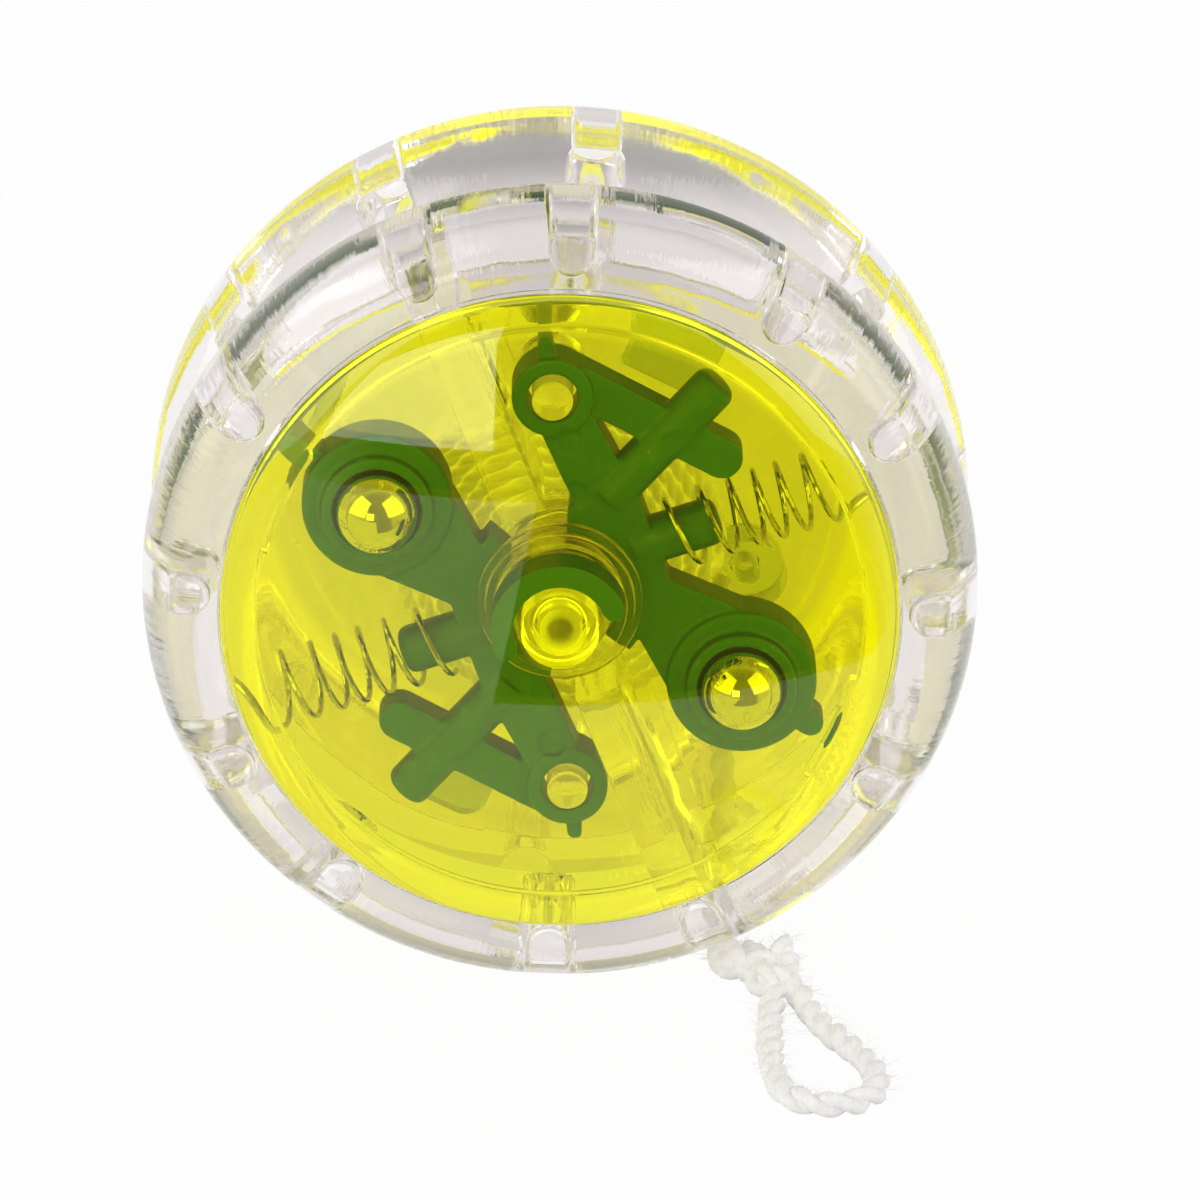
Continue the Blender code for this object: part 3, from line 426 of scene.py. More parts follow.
def join_rings(shape, rings, closed):
    """Quads from each ring of points to the next."""
    for k in range(len(rings) - (not closed)):
        one, two = rings[k], rings[(k + 1) % len(rings)]
        sides = max(len(one), len(two))
        for i in range(sides):
            j = (i + 1) % sides
            ends = [one[i % len(one)], one[j % len(one)], two[j % len(two)], two[i % len(two)]]
            ends = list(dict.fromkeys(ends))
            if len(ends) > 2:
                shape.faces.new(ends)


def turned(outline, sides=FINE_SIDES, start_deg=0.0):
    shape = bmesh.new()
    rings = []
    for radius, height in outline:
        if radius == 0:
            rings.append([shape.verts.new((0, 0, height))])
            continue
        angles = [math.radians(start_deg) + 2 * math.pi * i / sides for i in range(sides)]
        rings.append([shape.verts.new((radius * math.cos(a), radius * math.sin(a), height)) for a in angles])
    join_rings(shape, rings, True)
    return shape


def slab(outline, low, high):
    shape = bmesh.new()
    rings = [[shape.verts.new((x, y, level)) for x, y in outline] for level in (low, high)]
    shape.faces.new(rings[0])
    shape.faces.new(rings[1])
    join_rings(shape, rings, False)
    return shape


def arc(centre, radius, start_deg, end_deg, steps):
    angles = [math.radians(start_deg + (end_deg - start_deg) * i / steps) for i in range(steps + 1)]
    return [(centre[0] + radius * math.cos(a), centre[1] + radius * math.sin(a)) for a in angles]


def shifted(shape, place=(0, 0, 0), turn_deg=0.0):
    matrix = Matrix.Translation(place) @ Matrix.Rotation(math.radians(turn_deg), 4, "Z")
    bmesh.ops.transform(shape, matrix=matrix, verts=shape.verts)
    return shape


def mirrored(shape):
    """The same shape on the other side of the string gap."""
    bmesh.ops.transform(shape, matrix=Matrix.Scale(-1, 4, (0, 0, 1)), verts=shape.verts)
    return shape


def mesh_of(shape, name):
    bmesh.ops.recalc_face_normals(shape, faces=shape.faces)
    mesh = bpy.data.meshes.new(name)
    shape.to_mesh(mesh)
    shape.free()
    return mesh


def cut_and_joined(base, steps):
    """A bmesh after each (operation, bmesh) of exact Booleans."""
    body = bpy.data.objects.new("blank", mesh_of(base, "blank"))
    helpers = [body]
    bpy.context.scene.collection.objects.link(body)
    for operation, shape in steps:
        tool = bpy.data.objects.new("tool", mesh_of(shape, "tool"))
        bpy.context.scene.collection.objects.link(tool)
        helpers.append(tool)
        cut = body.modifiers.new("cut", "BOOLEAN")
        cut.operation = operation
        cut.object = tool
        cut.solver = "EXACT"
    return baked(body, helpers)


def baked(body, helpers):
    """A bmesh of an object with its modifiers applied, after which it and its helpers go."""
    bpy.context.view_layer.update()
    graph = bpy.context.evaluated_depsgraph_get()
    mesh = bpy.data.meshes.new_from_object(body.evaluated_get(graph))
    shape = bmesh.new()
    shape.from_mesh(mesh)
    bpy.data.meshes.remove(mesh)
    for helper in helpers:
        bpy.data.objects.remove(helper, do_unlink=True)
    return shape


def piece(name, shape, finish, body, nodes=(), smooth_deg=32.0):
    """A bmesh in the axle's frame, stood up, finished, riding on a body and standing for CAD nodes."""
    bmesh.ops.recalc_face_normals(shape, faces=shape.faces)
    mesh = bpy.data.meshes.new(name)
    shape.to_mesh(mesh)
    shape.free()
    mesh.transform(STAND_UP)
    mesh.shade_smooth()
    mesh.set_sharp_from_angle(angle=math.radians(smooth_deg))
    mesh.materials.append(finish)
    made = bpy.data.objects.new(name, mesh)
    bpy.context.scene.collection.objects.link(made)
    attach(made, body)
    if nodes:
        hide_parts(*nodes)
    print(f"{name}: {len(mesh.polygons)} faces on {body}")
    return made


# %% [markdown]
# ## The shells' skin
# Each shell is a cup with a flat face to the string gap, a flare out to the rim and a rounded slope to the
# lip that holds the cap. Blind pockets are cored into the flare from the gap side, so that the thick rim
# cools evenly. In clear plastic a pocket cut by a Boolean leaves a ragged seam of slivers, and the seam shows.
# So the flare is laid out in sectors, one for each pocket. Each is a grid that runs from the sector's edges to
# the pocket's edge, over a small round, along its walls and across its end.

# %% Rim profile
GAP_FACE = (20.0, 1.75)
FLARE = (8.5, 5.85)
RIM_LOW, RIM_HIGH = 7.6, 8.0
LIP = (24.4, 13.6)
SLOPE = (RIM_RADIUS - LIP[0], LIP[1] - RIM_HIGH)
quarter = [math.pi / 2 * i / 120 for i in range(121)]
flare_line = [(GAP_FACE[0] + FLARE[0] * math.sin(a), RIM_LOW - FLARE[1] * math.cos(a)) for a in quarter]
slope_line = [(LIP[0] + SLOPE[0] * math.cos(a), RIM_HIGH + SLOPE[1] * math.sin(a)) for a in quarter]
flare_radii = [radius for radius, height in flare_line]
rim_line = np.array(flare_line + slope_line)
rim_run = np.concatenate([[0], np.cumsum(np.linalg.norm(np.diff(rim_line, axis=0), axis=1))])


def rim_at(run):
    """Radius and height on the rim, at a distance along its outline."""
    return np.interp(run, rim_run, rim_line[:, 0]), np.interp(run, rim_run, rim_line[:, 1])


def flare_run(radius):
    return float(np.interp(radius, flare_radii, rim_run[: len(flare_radii)]))


def flare_height(radius):
    return float(np.interp(radius, flare_radii, [height for _, height in flare_line]))


print(f"rim outline {rim_run[-1]:.1f} mm long")

# %% Pocket outline
POCKET_BOTTOM, POCKET_TOP = 23.65, 27.15
POCKET_HALF, POCKET_CORNER = 1.85, 0.55
POCKET_MOUTH, POCKET_END = 3.4, 11.6
SIDE_DRAFT, TOP_DRAFT = 0.03, 0.12
ACROSS_STEPS, UP_STEPS = 14, 16


def arc_point(x, y, radius, degrees):
    turn = math.radians(degrees)
    return (x + radius * math.cos(turn), y + radius * math.sin(turn))


def pocket_outline(level, inset):
    """(across, outwards) round a pocket: its round bottom, right side, flat top and left side."""
    half = POCKET_HALF - SIDE_DRAFT * (level - POCKET_MOUTH) - inset
    corner = max(POCKET_CORNER - inset, 0.1)
    low = POCKET_BOTTOM + inset + half
    high = max(POCKET_TOP - TOP_DRAFT * (level - POCKET_MOUTH) - inset - corner, low)
    flat = half - corner

    def right(t):
        if t < 0.25:
            return arc_point(0, low, half, -45 + 180 * t)
        if t < 0.75:
            return (half, low + (high - low) * (2 * t - 0.5))
        return arc_point(flat, high, corner, 180 * (t - 0.75))

    def top(t):
        if t < 0.3:
            return arc_point(flat, high, corner, 45 + 150 * t)
        if t < 0.7:
            return (flat * (1 - 5 * (t - 0.3)), high + corner)
        return arc_point(-flat, high, corner, 90 + 150 * (t - 0.7))

    bottom = [arc_point(0, low, half, -135 + 90 * i / ACROSS_STEPS) for i in range(ACROSS_STEPS)]
    up = [right(i / UP_STEPS) for i in range(UP_STEPS)]
    over = [top(i / ACROSS_STEPS) for i in range(ACROSS_STEPS)]
    down = [right(1 - i / UP_STEPS) for i in range(UP_STEPS)]
    return bottom + up + over + [(-x, y) for x, y in down]


# %% Pocket sectors
EDGE_ROUND, END_ROUND = 0.3, 0.5
SECTOR_RUN = (flare_run(22.3), flare_run(28.25))
LOOP_POINTS = 2 * (ACROSS_STEPS + UP_STEPS)


def sector_edge(start_deg, end_deg):
    """(angle in degrees, run) round the sector's four sides, in step with the pocket's outline."""
    low, high = SECTOR_RUN
    wide = end_deg - start_deg
    across = [(start_deg + wide * i / ACROSS_STEPS, low) for i in range(ACROSS_STEPS)]
    side = [(end_deg, low + (high - low) * i / UP_STEPS) for i in range(UP_STEPS)]
    over = [(end_deg - wide * i / ACROSS_STEPS, high) for i in range(ACROSS_STEPS)]
    back = [(start_deg, high - (high - low) * i / UP_STEPS) for i in range(UP_STEPS)]
    return across + side + over + back


def pocket_point(k, level, inset):
    across, out = pocket_outline(level, inset)[k]
    return Vector((out, across, level))


def mouth_level(k):
    """Where the pocket's wall meets the flare."""
    level = POCKET_MOUTH
    for _ in range(8):
        point = pocket_point(k, level, 0)
        level = flare_height(math.hypot(point.x, point.y))
    return level


def curve_between(start, corner, end, steps):
    ts = [i / steps for i in range(1, steps)]
    return [start * (1 - t) ** 2 + corner * 2 * t * (1 - t) + end * t * t for t in ts]


def wall_points(k):
    """A pocket's points from its brink on the flare to the middle of its end."""
    level = mouth_level(k)
    brink = pocket_point(k, level, -EDGE_ROUND)
    brink.z = flare_height(math.hypot(brink.x, brink.y))
    corner = pocket_point(k, level, 0)
    wall_top = pocket_point(k, level + EDGE_ROUND, 0)
    wall_end = pocket_point(k, POCKET_END - END_ROUND, 0)
    foot, floor = pocket_point(k, POCKET_END, 0), pocket_point(k, POCKET_END, END_ROUND)
    points = [brink, *curve_between(brink, corner, wall_top, 3), wall_top]
    points += [wall_top.lerp(wall_end, t) for t in (0.33, 0.67, 1)]
    points += [*curve_between(wall_end, foot, floor, 4), floor]
    return points + [pocket_point(k, POCKET_END, inset) for inset in (0.9, 1.4)]


WALLS = [wall_points(k) for k in range(LOOP_POINTS)]


def sector_columns(start_deg, end_deg):
    """For each point round a sector, its points from the sector's edge to the pocket's end."""
    columns = []
    for wall, (edge_deg, edge_run) in zip(WALLS, sector_edge(start_deg, end_deg)):
        brink = wall[0]
        brink_deg = math.degrees(math.atan2(brink.y, brink.x))
        brink_run = flare_run(math.hypot(brink.x, brink.y))
        column = []
        for i in range(6):
            t = (i / 6) ** 0.8
            turn = math.radians(edge_deg + (brink_deg - edge_deg) * t)
            radius, height = rim_at(edge_run + (brink_run - edge_run) * t)
            column.append(Vector((radius * math.cos(turn), radius * math.sin(turn), height)))
        columns.append(column + wall)
    return columns


print(f"one pocket sector: {LOOP_POINTS} points round, {len(WALLS[0]) + 6} deep")


# %% Shell
def shell_skin(pocket_degs, inside):
    """A shell's bmesh: pocket sectors, then plain rings over the rim, the lip, the inside and the gap face."""
    shape = bmesh.new()
    ring_degs = []
    for k, pocket in enumerate(pocket_degs):
        before = pocket_degs[k - 1] - (360 if k == 0 else 0)
        after = pocket_degs[(k + 1) % len(pocket_degs)] + (360 if k == len(pocket_degs) - 1 else 0)
        start, end = (before + pocket) / 2, (pocket + after) / 2
        ring_degs += [start + (end - start) * i / ACROSS_STEPS for i in range(ACROSS_STEPS)]
        turn = Matrix.Rotation(math.radians(pocket), 3, "Z")
        sector = sector_columns(start - pocket, end - pocket)
        columns = [[shape.verts.new(turn @ point) for point in column] for column in sector]
        rings = [list(ring) for ring in zip(*columns)]
        join_rings(shape, rings, False)
        shape.faces.new(rings[-1])
    low, high = SECTOR_RUN
    outline = [rim_at(high + (rim_run[-1] - high) * i / 20) for i in range(21)]
    outline += inside
    outline += [rim_at(low * i / 5) for i in range(6)]
    turns = [math.radians(degrees) for degrees in ring_degs]
    rings = [[shape.verts.new((r * math.cos(t), r * math.sin(t), h)) for t in turns] for r, h in outline]
    join_rings(shape, rings, False)
    bmesh.ops.remove_doubles(shape, verts=shape.verts, dist=1e-4)
    return shape


CUP, NECK, GROOVE = 23.05, 22.95, 23.25
WEB = 4.0
HUB_HOLE = 4.6
GAP = 1.75


def cup_inside(middle):
    """The lip, the groove for the cap's bead and the cup's wall, then what a shell has in its middle."""
    lip = [LIP, (NECK, LIP[1]), (NECK, 13.3), (GROOVE, 13.1), (GROOVE, 12.8), (CUP, 12.6)]
    soft = rounded([*lip, (CUP, WEB), *middle, GAP_FACE], 0.28)
    return soft[ROUND_POINTS:-ROUND_POINTS]


# %% [markdown]
# ## What stands in the shells
# Ribs run from near the drum to the wall, tall in the front shell. It also carries the two posts that the arms turn on and two
# rounded stops beside them, and the rear shell two screw bosses and the hub that holds the axle's nut. They are
# all one moulding with their shell, so they are joined to it, and no faces are left inside the plastic.

# %% Ribs, posts and bosses
RIB_DEG = (111.5, -68.5)
FRONT_RIB, REAR_RIB = 11.8, 5.8
PIVOT = (-0.5, 14.1)
STOP_DEG = -27.0
ROOT = WEB - 0.3


def rib(turn_deg, height):
    outline = [(6.8, -1.55), (23.4, -1.55), (23.4, 1.55), (6.8, 1.55)]
    shape = slab(outline, ROOT, height)
    top = [edge for edge in shape.edges if all(v.co.z > height - 0.1 for v in edge.verts)]
    bmesh.ops.bevel(shape, geom=top, offset=0.25, segments=2, profile=0.5, affect="EDGES")
    return shifted(shape, turn_deg=turn_deg)


def standing(outline, place, sides=40):
    return shifted(turned(rounded(outline, 0.25), sides), (*place, 0.0))


def opposite(place):
    return (-place[0], -place[1])


def stop():
    """A rounded block, flat towards the arm beside it."""
    outline = [(-2.9, -1.6), (2.9, -1.6), *arc((1.3, 0.5), 1.6, 0, 90, 10), *arc((-1.3, 0.5), 1.6, 90, 180, 10)]
    shape = slab(outline, ROOT, 5.6)
    top = [edge for edge in shape.edges if all(v.co.z > 5.5 for v in edge.verts)]
    bmesh.ops.bevel(shape, geom=top, offset=0.2, segments=2, profile=0.5, affect="EDGES")
    return shifted(shape, (*STOP_PLACE, 0.0), STOP_DEG)


POST = [(0, ROOT), (2.6, ROOT), (2.6, 5.9), (1.4, 5.9), (1.4, 10.3), (0, 10.3)]
BOSS = [(0.9, ROOT + 1.0), (0.9, 8.0), (2.6, 8.0), (2.6, ROOT), (0, ROOT), (0, ROOT + 1.0)]


def both_halves(angles):
    """Angles over half a turn, and the same again half a turn on."""
    return [*angles, *(angle + 180 for angle in angles)]


FRONT_POCKETS = both_halves([28.0, 53.5, 88.2, 112.5, 148.0, 178.2])
REAR_POCKETS = both_halves([2.8, 37.8, 84.6, 117.3, 147.8])

front_middle = [(HUB_HOLE, WEB), (HUB_HOLE, GAP)]
front_steps = [("UNION", rib(angle, FRONT_RIB)) for angle in RIB_DEG]
front_steps += [("UNION", standing(POST, place)) for place in (PIVOT, opposite(PIVOT))]
front_steps += [("UNION", shifted(stop(), turn_deg=turn)) for turn in (0, 180)]
front_shape = cut_and_joined(shell_skin(FRONT_POCKETS, cup_inside(front_middle)), front_steps)
front_shell = piece("clear_front_shell", front_shape, SHELL_CLEAR, "body", ["front_shell"])

# %% Rear shell
NUT_POCKET = arc((0, 0), (5.5 + 0.6) / math.sqrt(3), 0, 300, 5)
rear_middle = [(5.5, WEB), (5.0, WEB + 0.5), (5.0, 12.0), (1.8, 12.0), (1.8, 2.6), (HUB_HOLE, 2.6), (HUB_HOLE, GAP)]
rear_steps = [("UNION", mirrored(rib(angle, REAR_RIB))) for angle in RIB_DEG]
rear_steps += [("UNION", mirrored(standing(BOSS, place))) for place in (BOSS_PLACE, opposite(BOSS_PLACE))]
rear_steps += [("DIFFERENCE", mirrored(slab(NUT_POCKET, 9.3, 13.0)))]
rear_skin = mirrored(shell_skin(REAR_POCKETS, cup_inside(rear_middle)))
rear_shape = cut_and_joined(rear_skin, rear_steps)
rear_shell = piece("clear_rear_shell", rear_shape, SHELL_CLEAR, "body", ["rear_shell"])

# %% [markdown]
# ## Caps
# A cap is a shallow dome with a thick edge ring, whose bead snaps into the shell's groove, two tabs inside the
# ring to lever it out by, and a boss in the middle that steadies the axle's end. The rear cap is the same
# moulding, turned to face the other way.

# %% Caps
CAP_TOP, CAP_EDGE, CAP_EDGE_RADIUS, CAP_RADIUS = 18.0, 14.6, 22.3, 22.75
CAP_PLATE = 1.5


def dome(radius):
    return CAP_TOP - (CAP_TOP - CAP_EDGE) * (radius / CAP_EDGE_RADIUS) ** 2


outer = [(CAP_EDGE_RADIUS * i / 24, dome(CAP_EDGE_RADIUS * i / 24)) for i in range(24)]
bead = [(CAP_RADIUS, 13.25), (23.0, 13.05), (23.0, 12.85), (CAP_RADIUS, 12.65)]
edge = [(22.0, dome(22.0)), (CAP_RADIUS, 14.35), *bead, (CAP_RADIUS, 12.5), (20.4, 12.5), (20.4, 13.6)]
edge = rounded(edge, 0.3)[ROUND_POINTS:-ROUND_POINTS]
inner = [(20.4 - 17.8 * i / 20, dome(20.4 - 17.8 * i / 20) - CAP_PLATE) for i in range(21)]
boss = [(2.6, 13.8), (2.4, 13.6), (2.0, 13.6), (1.8, 13.75), (1.8, 16.0), (0, 16.0)]
cap_outline = outer + edge + inner + boss
TAB_SPANS = ((145, 167), (325, 347))


def snap_tab(start_deg, end_deg):
    outline = arc((0, 0), 20.7, start_deg, end_deg, 12) + arc((0, 0), 20.0, end_deg, start_deg, 12)
    shape = slab(outline, 12.5, 14.65)
    bmesh.ops.bevel(shape, geom=shape.edges[:], offset=0.2, segments=2, profile=0.5, affect="EDGES")
    return shape


cap_shape = cut_and_joined(turned(cap_outline), [("UNION", snap_tab(*span)) for span in TAB_SPANS])
rear_cap_shape = cap_shape.copy()
bmesh.ops.transform(rear_cap_shape, matrix=Matrix.Rotation(math.pi, 4, "X"), verts=rear_cap_shape.verts)
piece("yellow_front_cap", cap_shape, FRONT_YELLOW, "body", ["front_cap"])
piece("yellow_rear_cap", rear_cap_shape, REAR_YELLOW, "body", ["rear_cap"])

# %% [markdown]
# ## Spool, axle and small turned pieces
# The string spool and the clutch drum are one clear moulding. The real drum has a curved slot in its face that
# keeps its wall even; the turned spool here leaves it out. It turns on a brass bush on the steel axle, between two
# nylon washers.

# %% Spool and axle
GRIP = 3.7
drum = [(2.9, 12.4), (4.5, 12.4), (4.5, 11.8), (5.05, 11.8), (5.05, 11.2), (5.56, 11.2), (5.56, 10.4)]
drum += [(GRIP, 10.4), (GRIP, 4.4), (4.2, 4.4), (4.2, -1.6), (2.9, -1.6)]
piece("clear_spool", turned(rounded(drum, 0.15), 96), SPOOL_CLEAR, "spool", ["spool"])
bush = rounded([(2.6, 12.4), (2.6, -1.6), (1.8, -1.6), (1.8, 12.4)], 0.15)
piece("brass_bush", turned(bush, 64), BUSH_BRASS, "spool", ["spool_bush"])
axle = rounded([(0, 15.7), (1.5, 15.7), (1.5, -13.2), (0, -13.2)], 0.3)
piece("steel_axle", turned(axle, 48), WIRE_STEEL, "body", ["axle"])
for name, node, radius, low in (("front_nylon_washer", "front_washer", 3.4, 12.7), ("rear_nylon_washer", "rear_washer", 4.2, -2.3)):
    ring = rounded([(radius, low + 0.4), (radius, low), (1.85, low), (1.85, low + 0.4)], 0.1)
    piece(name, turned(ring, 64), WASHER_NYLON, "body", [node])



# %% Painted jaw reflection
def painted_jaw_reflection(middle, width, half_deg, turn_deg):
    """A C with round ends, open at one side. It is a painted reflection: a green piece round the cap's boss standing
    for the jaws' green that the drum's clear wall bends into view.
    """
    tip = (middle * math.cos(math.radians(half_deg)), middle * math.sin(math.radians(half_deg)))
    end = width / 2
    outline = arc((0, 0), middle + end, -half_deg, half_deg, 60)
    outline += arc(tip, end, half_deg, half_deg + 180, 10)[1:-1]
    outline += arc((0, 0), middle - end, half_deg, -half_deg, 60)
    outline += arc((tip[0], -tip[1]), end, 180 - half_deg, 360 - half_deg, 10)[1:-1]
    shape = slab(outline, 13.8, 16.3)
    ends = [edge for edge in shape.edges if abs(edge.verts[0].co.z - edge.verts[1].co.z) < 0.1]
    bmesh.ops.bevel(shape, geom=ends, offset=0.15, segments=2, profile=0.5, affect="EDGES")
    return shifted(shape, turn_deg=turn_deg)


# Painted reflection: this green C stands for the jaws' green seen through the drum's clear wall.
piece("green_painted_jaw_reflection", painted_jaw_reflection(3.9, 1.5, 90.5, 111.5), ARM_GREEN, "body", ())

# %% Axle nut
nut_shape = slab(arc((0, 0), 5.5 / math.sqrt(3), 0, 300, 5), -12.0, -9.6)
bmesh.ops.bevel(nut_shape, geom=nut_shape.edges[:], offset=0.2, segments=2, profile=0.5, affect="EDGES")
nut_bore = turned([(0, -8), (1.8, -8), (1.8, -13), (0, -13)], 32)
nut_shape = cut_and_joined(nut_shape, [("DIFFERENCE", nut_bore)])
piece("steel_axle_nut", nut_shape, WIRE_STEEL, "body", ["axle_nut"])

# %% [markdown]
# ## Clutch arms
# One moulding serves both sides. A ring turns on the post, a strut and a brace run from it, the jaw bears on
# the drum, and the holder at the far end carries the ball. A round rod and the spring's peg stand across it,
# and the mould's ejector pins have left shallow round marks.
# Each limb is the outline round two discs. Once they are joined and drilled, a voxel remesh and some smoothing
# round every corner the way a moulding is rounded, which a bevel on so many small edges would not do cleanly.

# %% Arm shape
BALL_PLACE = (12.3, -6.4)
PEG_START, PEG_DEG, PEG_LENGTH = (5.0, 2.95), 18.4, 6.0
SPRING_HEIGHT = 8.0
JAW_BORE = 4.0
PIN_MARKS = (((1.0, 7.0), 9.4), ((0.5, 10.9), 9.4), ((7.6, 10.9), 9.9))


def limb(start, start_radius, end, end_radius, low=6.4, high=9.4):
    along = Vector(end) - Vector(start)
    heading = math.degrees(math.atan2(along.y, along.x))
    spread = math.degrees(math.acos((start_radius - end_radius) / along.length))
    outline = arc(end, end_radius, heading - spread, heading + spread, 24)
    outline += arc(start, start_radius, heading + spread, heading + 360 - spread, 24)
    return slab(outline, low, high)


def rod(start, end, radius, height):
    along = Vector((end[0] - start[0], end[1] - start[1], 0))
    tip = arc((radius * 0.55, along.length - radius * 0.45), radius * 0.45, 0, 90, 5)
    shape = turned([(0, 0), (radius, 0), *tip, (0, along.length)], 32)
    matrix = Matrix.Translation((*start, height)) @ along.to_track_quat("Z", "Y").to_matrix().to_4x4()
    bmesh.ops.transform(shape, matrix=matrix, verts=shape.verts)
    return shape


def drill(radius, place, low, high):
    return shifted(turned([(0, high), (radius, high), (radius, low), (0, low)], 48), (*place, 0.0))


def arm_shape():
    jaw_top, jaw_end = (3.4, 6.0), (5.9, -0.5)
    turn = math.radians(PEG_DEG)
    peg_end = (PEG_START[0] + PEG_LENGTH * math.cos(turn), PEG_START[1] + PEG_LENGTH * math.sin(turn))
    holder = [(0, 10.8), (3.8, 10.8), (3.8, 9.9), (5.1, 9.9), (5.1, 6.2), (0, 6.2)]
    steps = [
        ("UNION", limb(jaw_top, 2.1, jaw_end, 1.85)),
        ("UNION", limb(jaw_end, 1.85, BALL_PLACE, 4.7)),
        ("UNION", slab(arc((0, 0), 6.3, -42, 84, 40) + arc((0, 0), JAW_BORE - 0.2, 84, -42, 40), 6.4, 9.4)),
        ("UNION", limb((0.8, 15.0), 1.4, (10.9, 9.5), 1.4, 6.6, 9.1)),
        ("UNION", limb(PIVOT, 0.5, (-1.0, 17.7), 0.5, 6.6, 9.1)),
        ("UNION", limb(BALL_PLACE, 0.9, (17.0, -9.7), 0.9, 6.6, 9.1)),
        ("UNION", drill(2.75, PIVOT, 6.3, 9.7)),
        ("UNION", shifted(turned(rounded(holder, 0.5), 64), (*BALL_PLACE, 0.0))),
        ("UNION", rod((3.3, 6.7), (10.7, 14.9), 1.55, 8.35)),
        ("UNION", rod(PEG_START, peg_end, 1.65, SPRING_HEIGHT)),
        ("DIFFERENCE", drill(JAW_BORE, (0, 0), 4.0, 14.0)),
        ("DIFFERENCE", drill(1.7, PIVOT, 4.0, 14.0)),
        ("DIFFERENCE", drill(3.0, BALL_PLACE, 7.8, 14.0)),
    ]
    steps += [("DIFFERENCE", drill(0.95, place, level - 0.2, 14.0)) for place, level in PIN_MARKS]
    return cut_and_joined(limb(PIVOT, 1.75, jaw_top, 2.1), steps)


def softened(shape, voxel, rounds, keep):
    body = bpy.data.objects.new("soft", mesh_of(shape, "soft"))
    bpy.context.scene.collection.objects.link(body)
    remesh = body.modifiers.new("remesh", "REMESH")
    remesh.mode = "VOXEL"
    remesh.voxel_size = voxel
    ease = body.modifiers.new("ease", "SMOOTH")
    ease.factor = 0.5
    ease.iterations = rounds
    thin = body.modifiers.new("thin", "DECIMATE")
    thin.ratio = keep
    return baked(body, [body])


right_arm = softened(arm_shape(), 0.13, 5, 0.3)
left_arm = shifted(right_arm.copy(), turn_deg=180)
piece("green_arm_right", right_arm, ARM_GREEN, "right_arm", ["clutch_arm_right"], 60)
piece("green_arm_left", left_arm, ARM_GREEN, "left_arm", ["clutch_arm_left"], 60)

# %% Balls
BALL_RADIUS, BALL_HEIGHT = 2.78, 10.9


def ball():
    shape = bmesh.new()
    bmesh.ops.create_uvsphere(shape, u_segments=64, v_segments=40, radius=BALL_RADIUS)
    return shifted(shape, (*BALL_PLACE, BALL_HEIGHT))


piece("steel_ball_right", ball(), BALL_STEEL, "right_arm", ["ball_weight_right"])
piece("steel_ball_left", shifted(ball(), turn_deg=180), BALL_STEEL, "left_arm", ["ball_weight_left"])

# %% [markdown]
# ## Springs
# Each spring sits over its arm's peg and presses on the shell's wall. The wire is a tube swept along a
# helix. As the arm opens, the spring shortens towards the wall; each mesh here gets only a copy of its own data.

# %% Tubes
def tube(shape, line, radii, sides, closed_ends=True):
    """Adds a round tube along points to a bmesh. radii is one number, or one for each point."""
    line = [Vector(point) for point in line]
    if not hasattr(radii, "__len__"):
        radii = [radii] * len(line)
    heading = (line[1] - line[0]).normalized()
    across = heading.orthogonal().normalized()
    rings = []
    for i, point in enumerate(line):
        ahead = (line[min(i + 1, len(line) - 1)] - line[max(i - 1, 0)]).normalized()
        across = heading.rotation_difference(ahead) @ across
        across = (across - ahead * across.dot(ahead)).normalized()
        heading = ahead
        side = ahead.cross(across)
        turns = [2 * math.pi * k / sides for k in range(sides)]
        rings.append(
            [shape.verts.new(point + (across * math.cos(t) + side * math.sin(t)) * radii[i]) for t in turns]
        )
    join_rings(shape, rings, False)
    if closed_ends:
        shape.faces.new(rings[0])
        shape.faces.new(rings[-1])
    return shape


# %% Springs
SPRING_START, SPRING_END = 2.75, 16.5
COIL_RADIUS, WIRE_RADIUS, COILS = 2.45, 0.2, 6.5
along = Vector((math.cos(math.radians(PEG_DEG)), math.sin(math.radians(PEG_DEG)), 0))
across = Vector((-along.y, along.x, 0))


def spring_line():
    points = []
    for i in range(int(COILS * 28) + 1):
        t = i / (COILS * 28)
        eased = t + 0.035 * math.sin(2 * math.pi * t)
        turn = 2 * math.pi * COILS * t
        out = across * math.cos(turn) + Vector((0, 0, 1)) * math.sin(turn)
        distance = SPRING_START + 0.2 + (SPRING_END - SPRING_START - 0.4) * eased
        points.append(Vector((*PEG_START, SPRING_HEIGHT)) + along * distance + out * COIL_RADIUS)
    return points


for side, turn in (("right", 0), ("left", 180)):
    shape = shifted(tube(bmesh.new(), spring_line(), WIRE_RADIUS, 10), turn_deg=turn)
    spring = piece(f"steel_spring_{side}", shape, SPRING_STEEL, "body", [f"clutch_spring_{side}"])
    wall = Vector((*PEG_START, SPRING_HEIGHT)) + along * SPRING_END
    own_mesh(spring)

# %% [markdown]
# ## String
# The string is two plies of cotton twisted together. Each ply is a tube that winds round the string's own
# line, so the twist shows as real ridges. About a metre of it is wound on the spool in layers, two
# turns side by side. The free end drops between the rims, runs out under the front one and ends in a
# knot and a finger loop that lie on the table.

# %% Plies
PLY_RADIUS, PLY_OFFSET, TWIST = 0.53, 0.40, 4.2


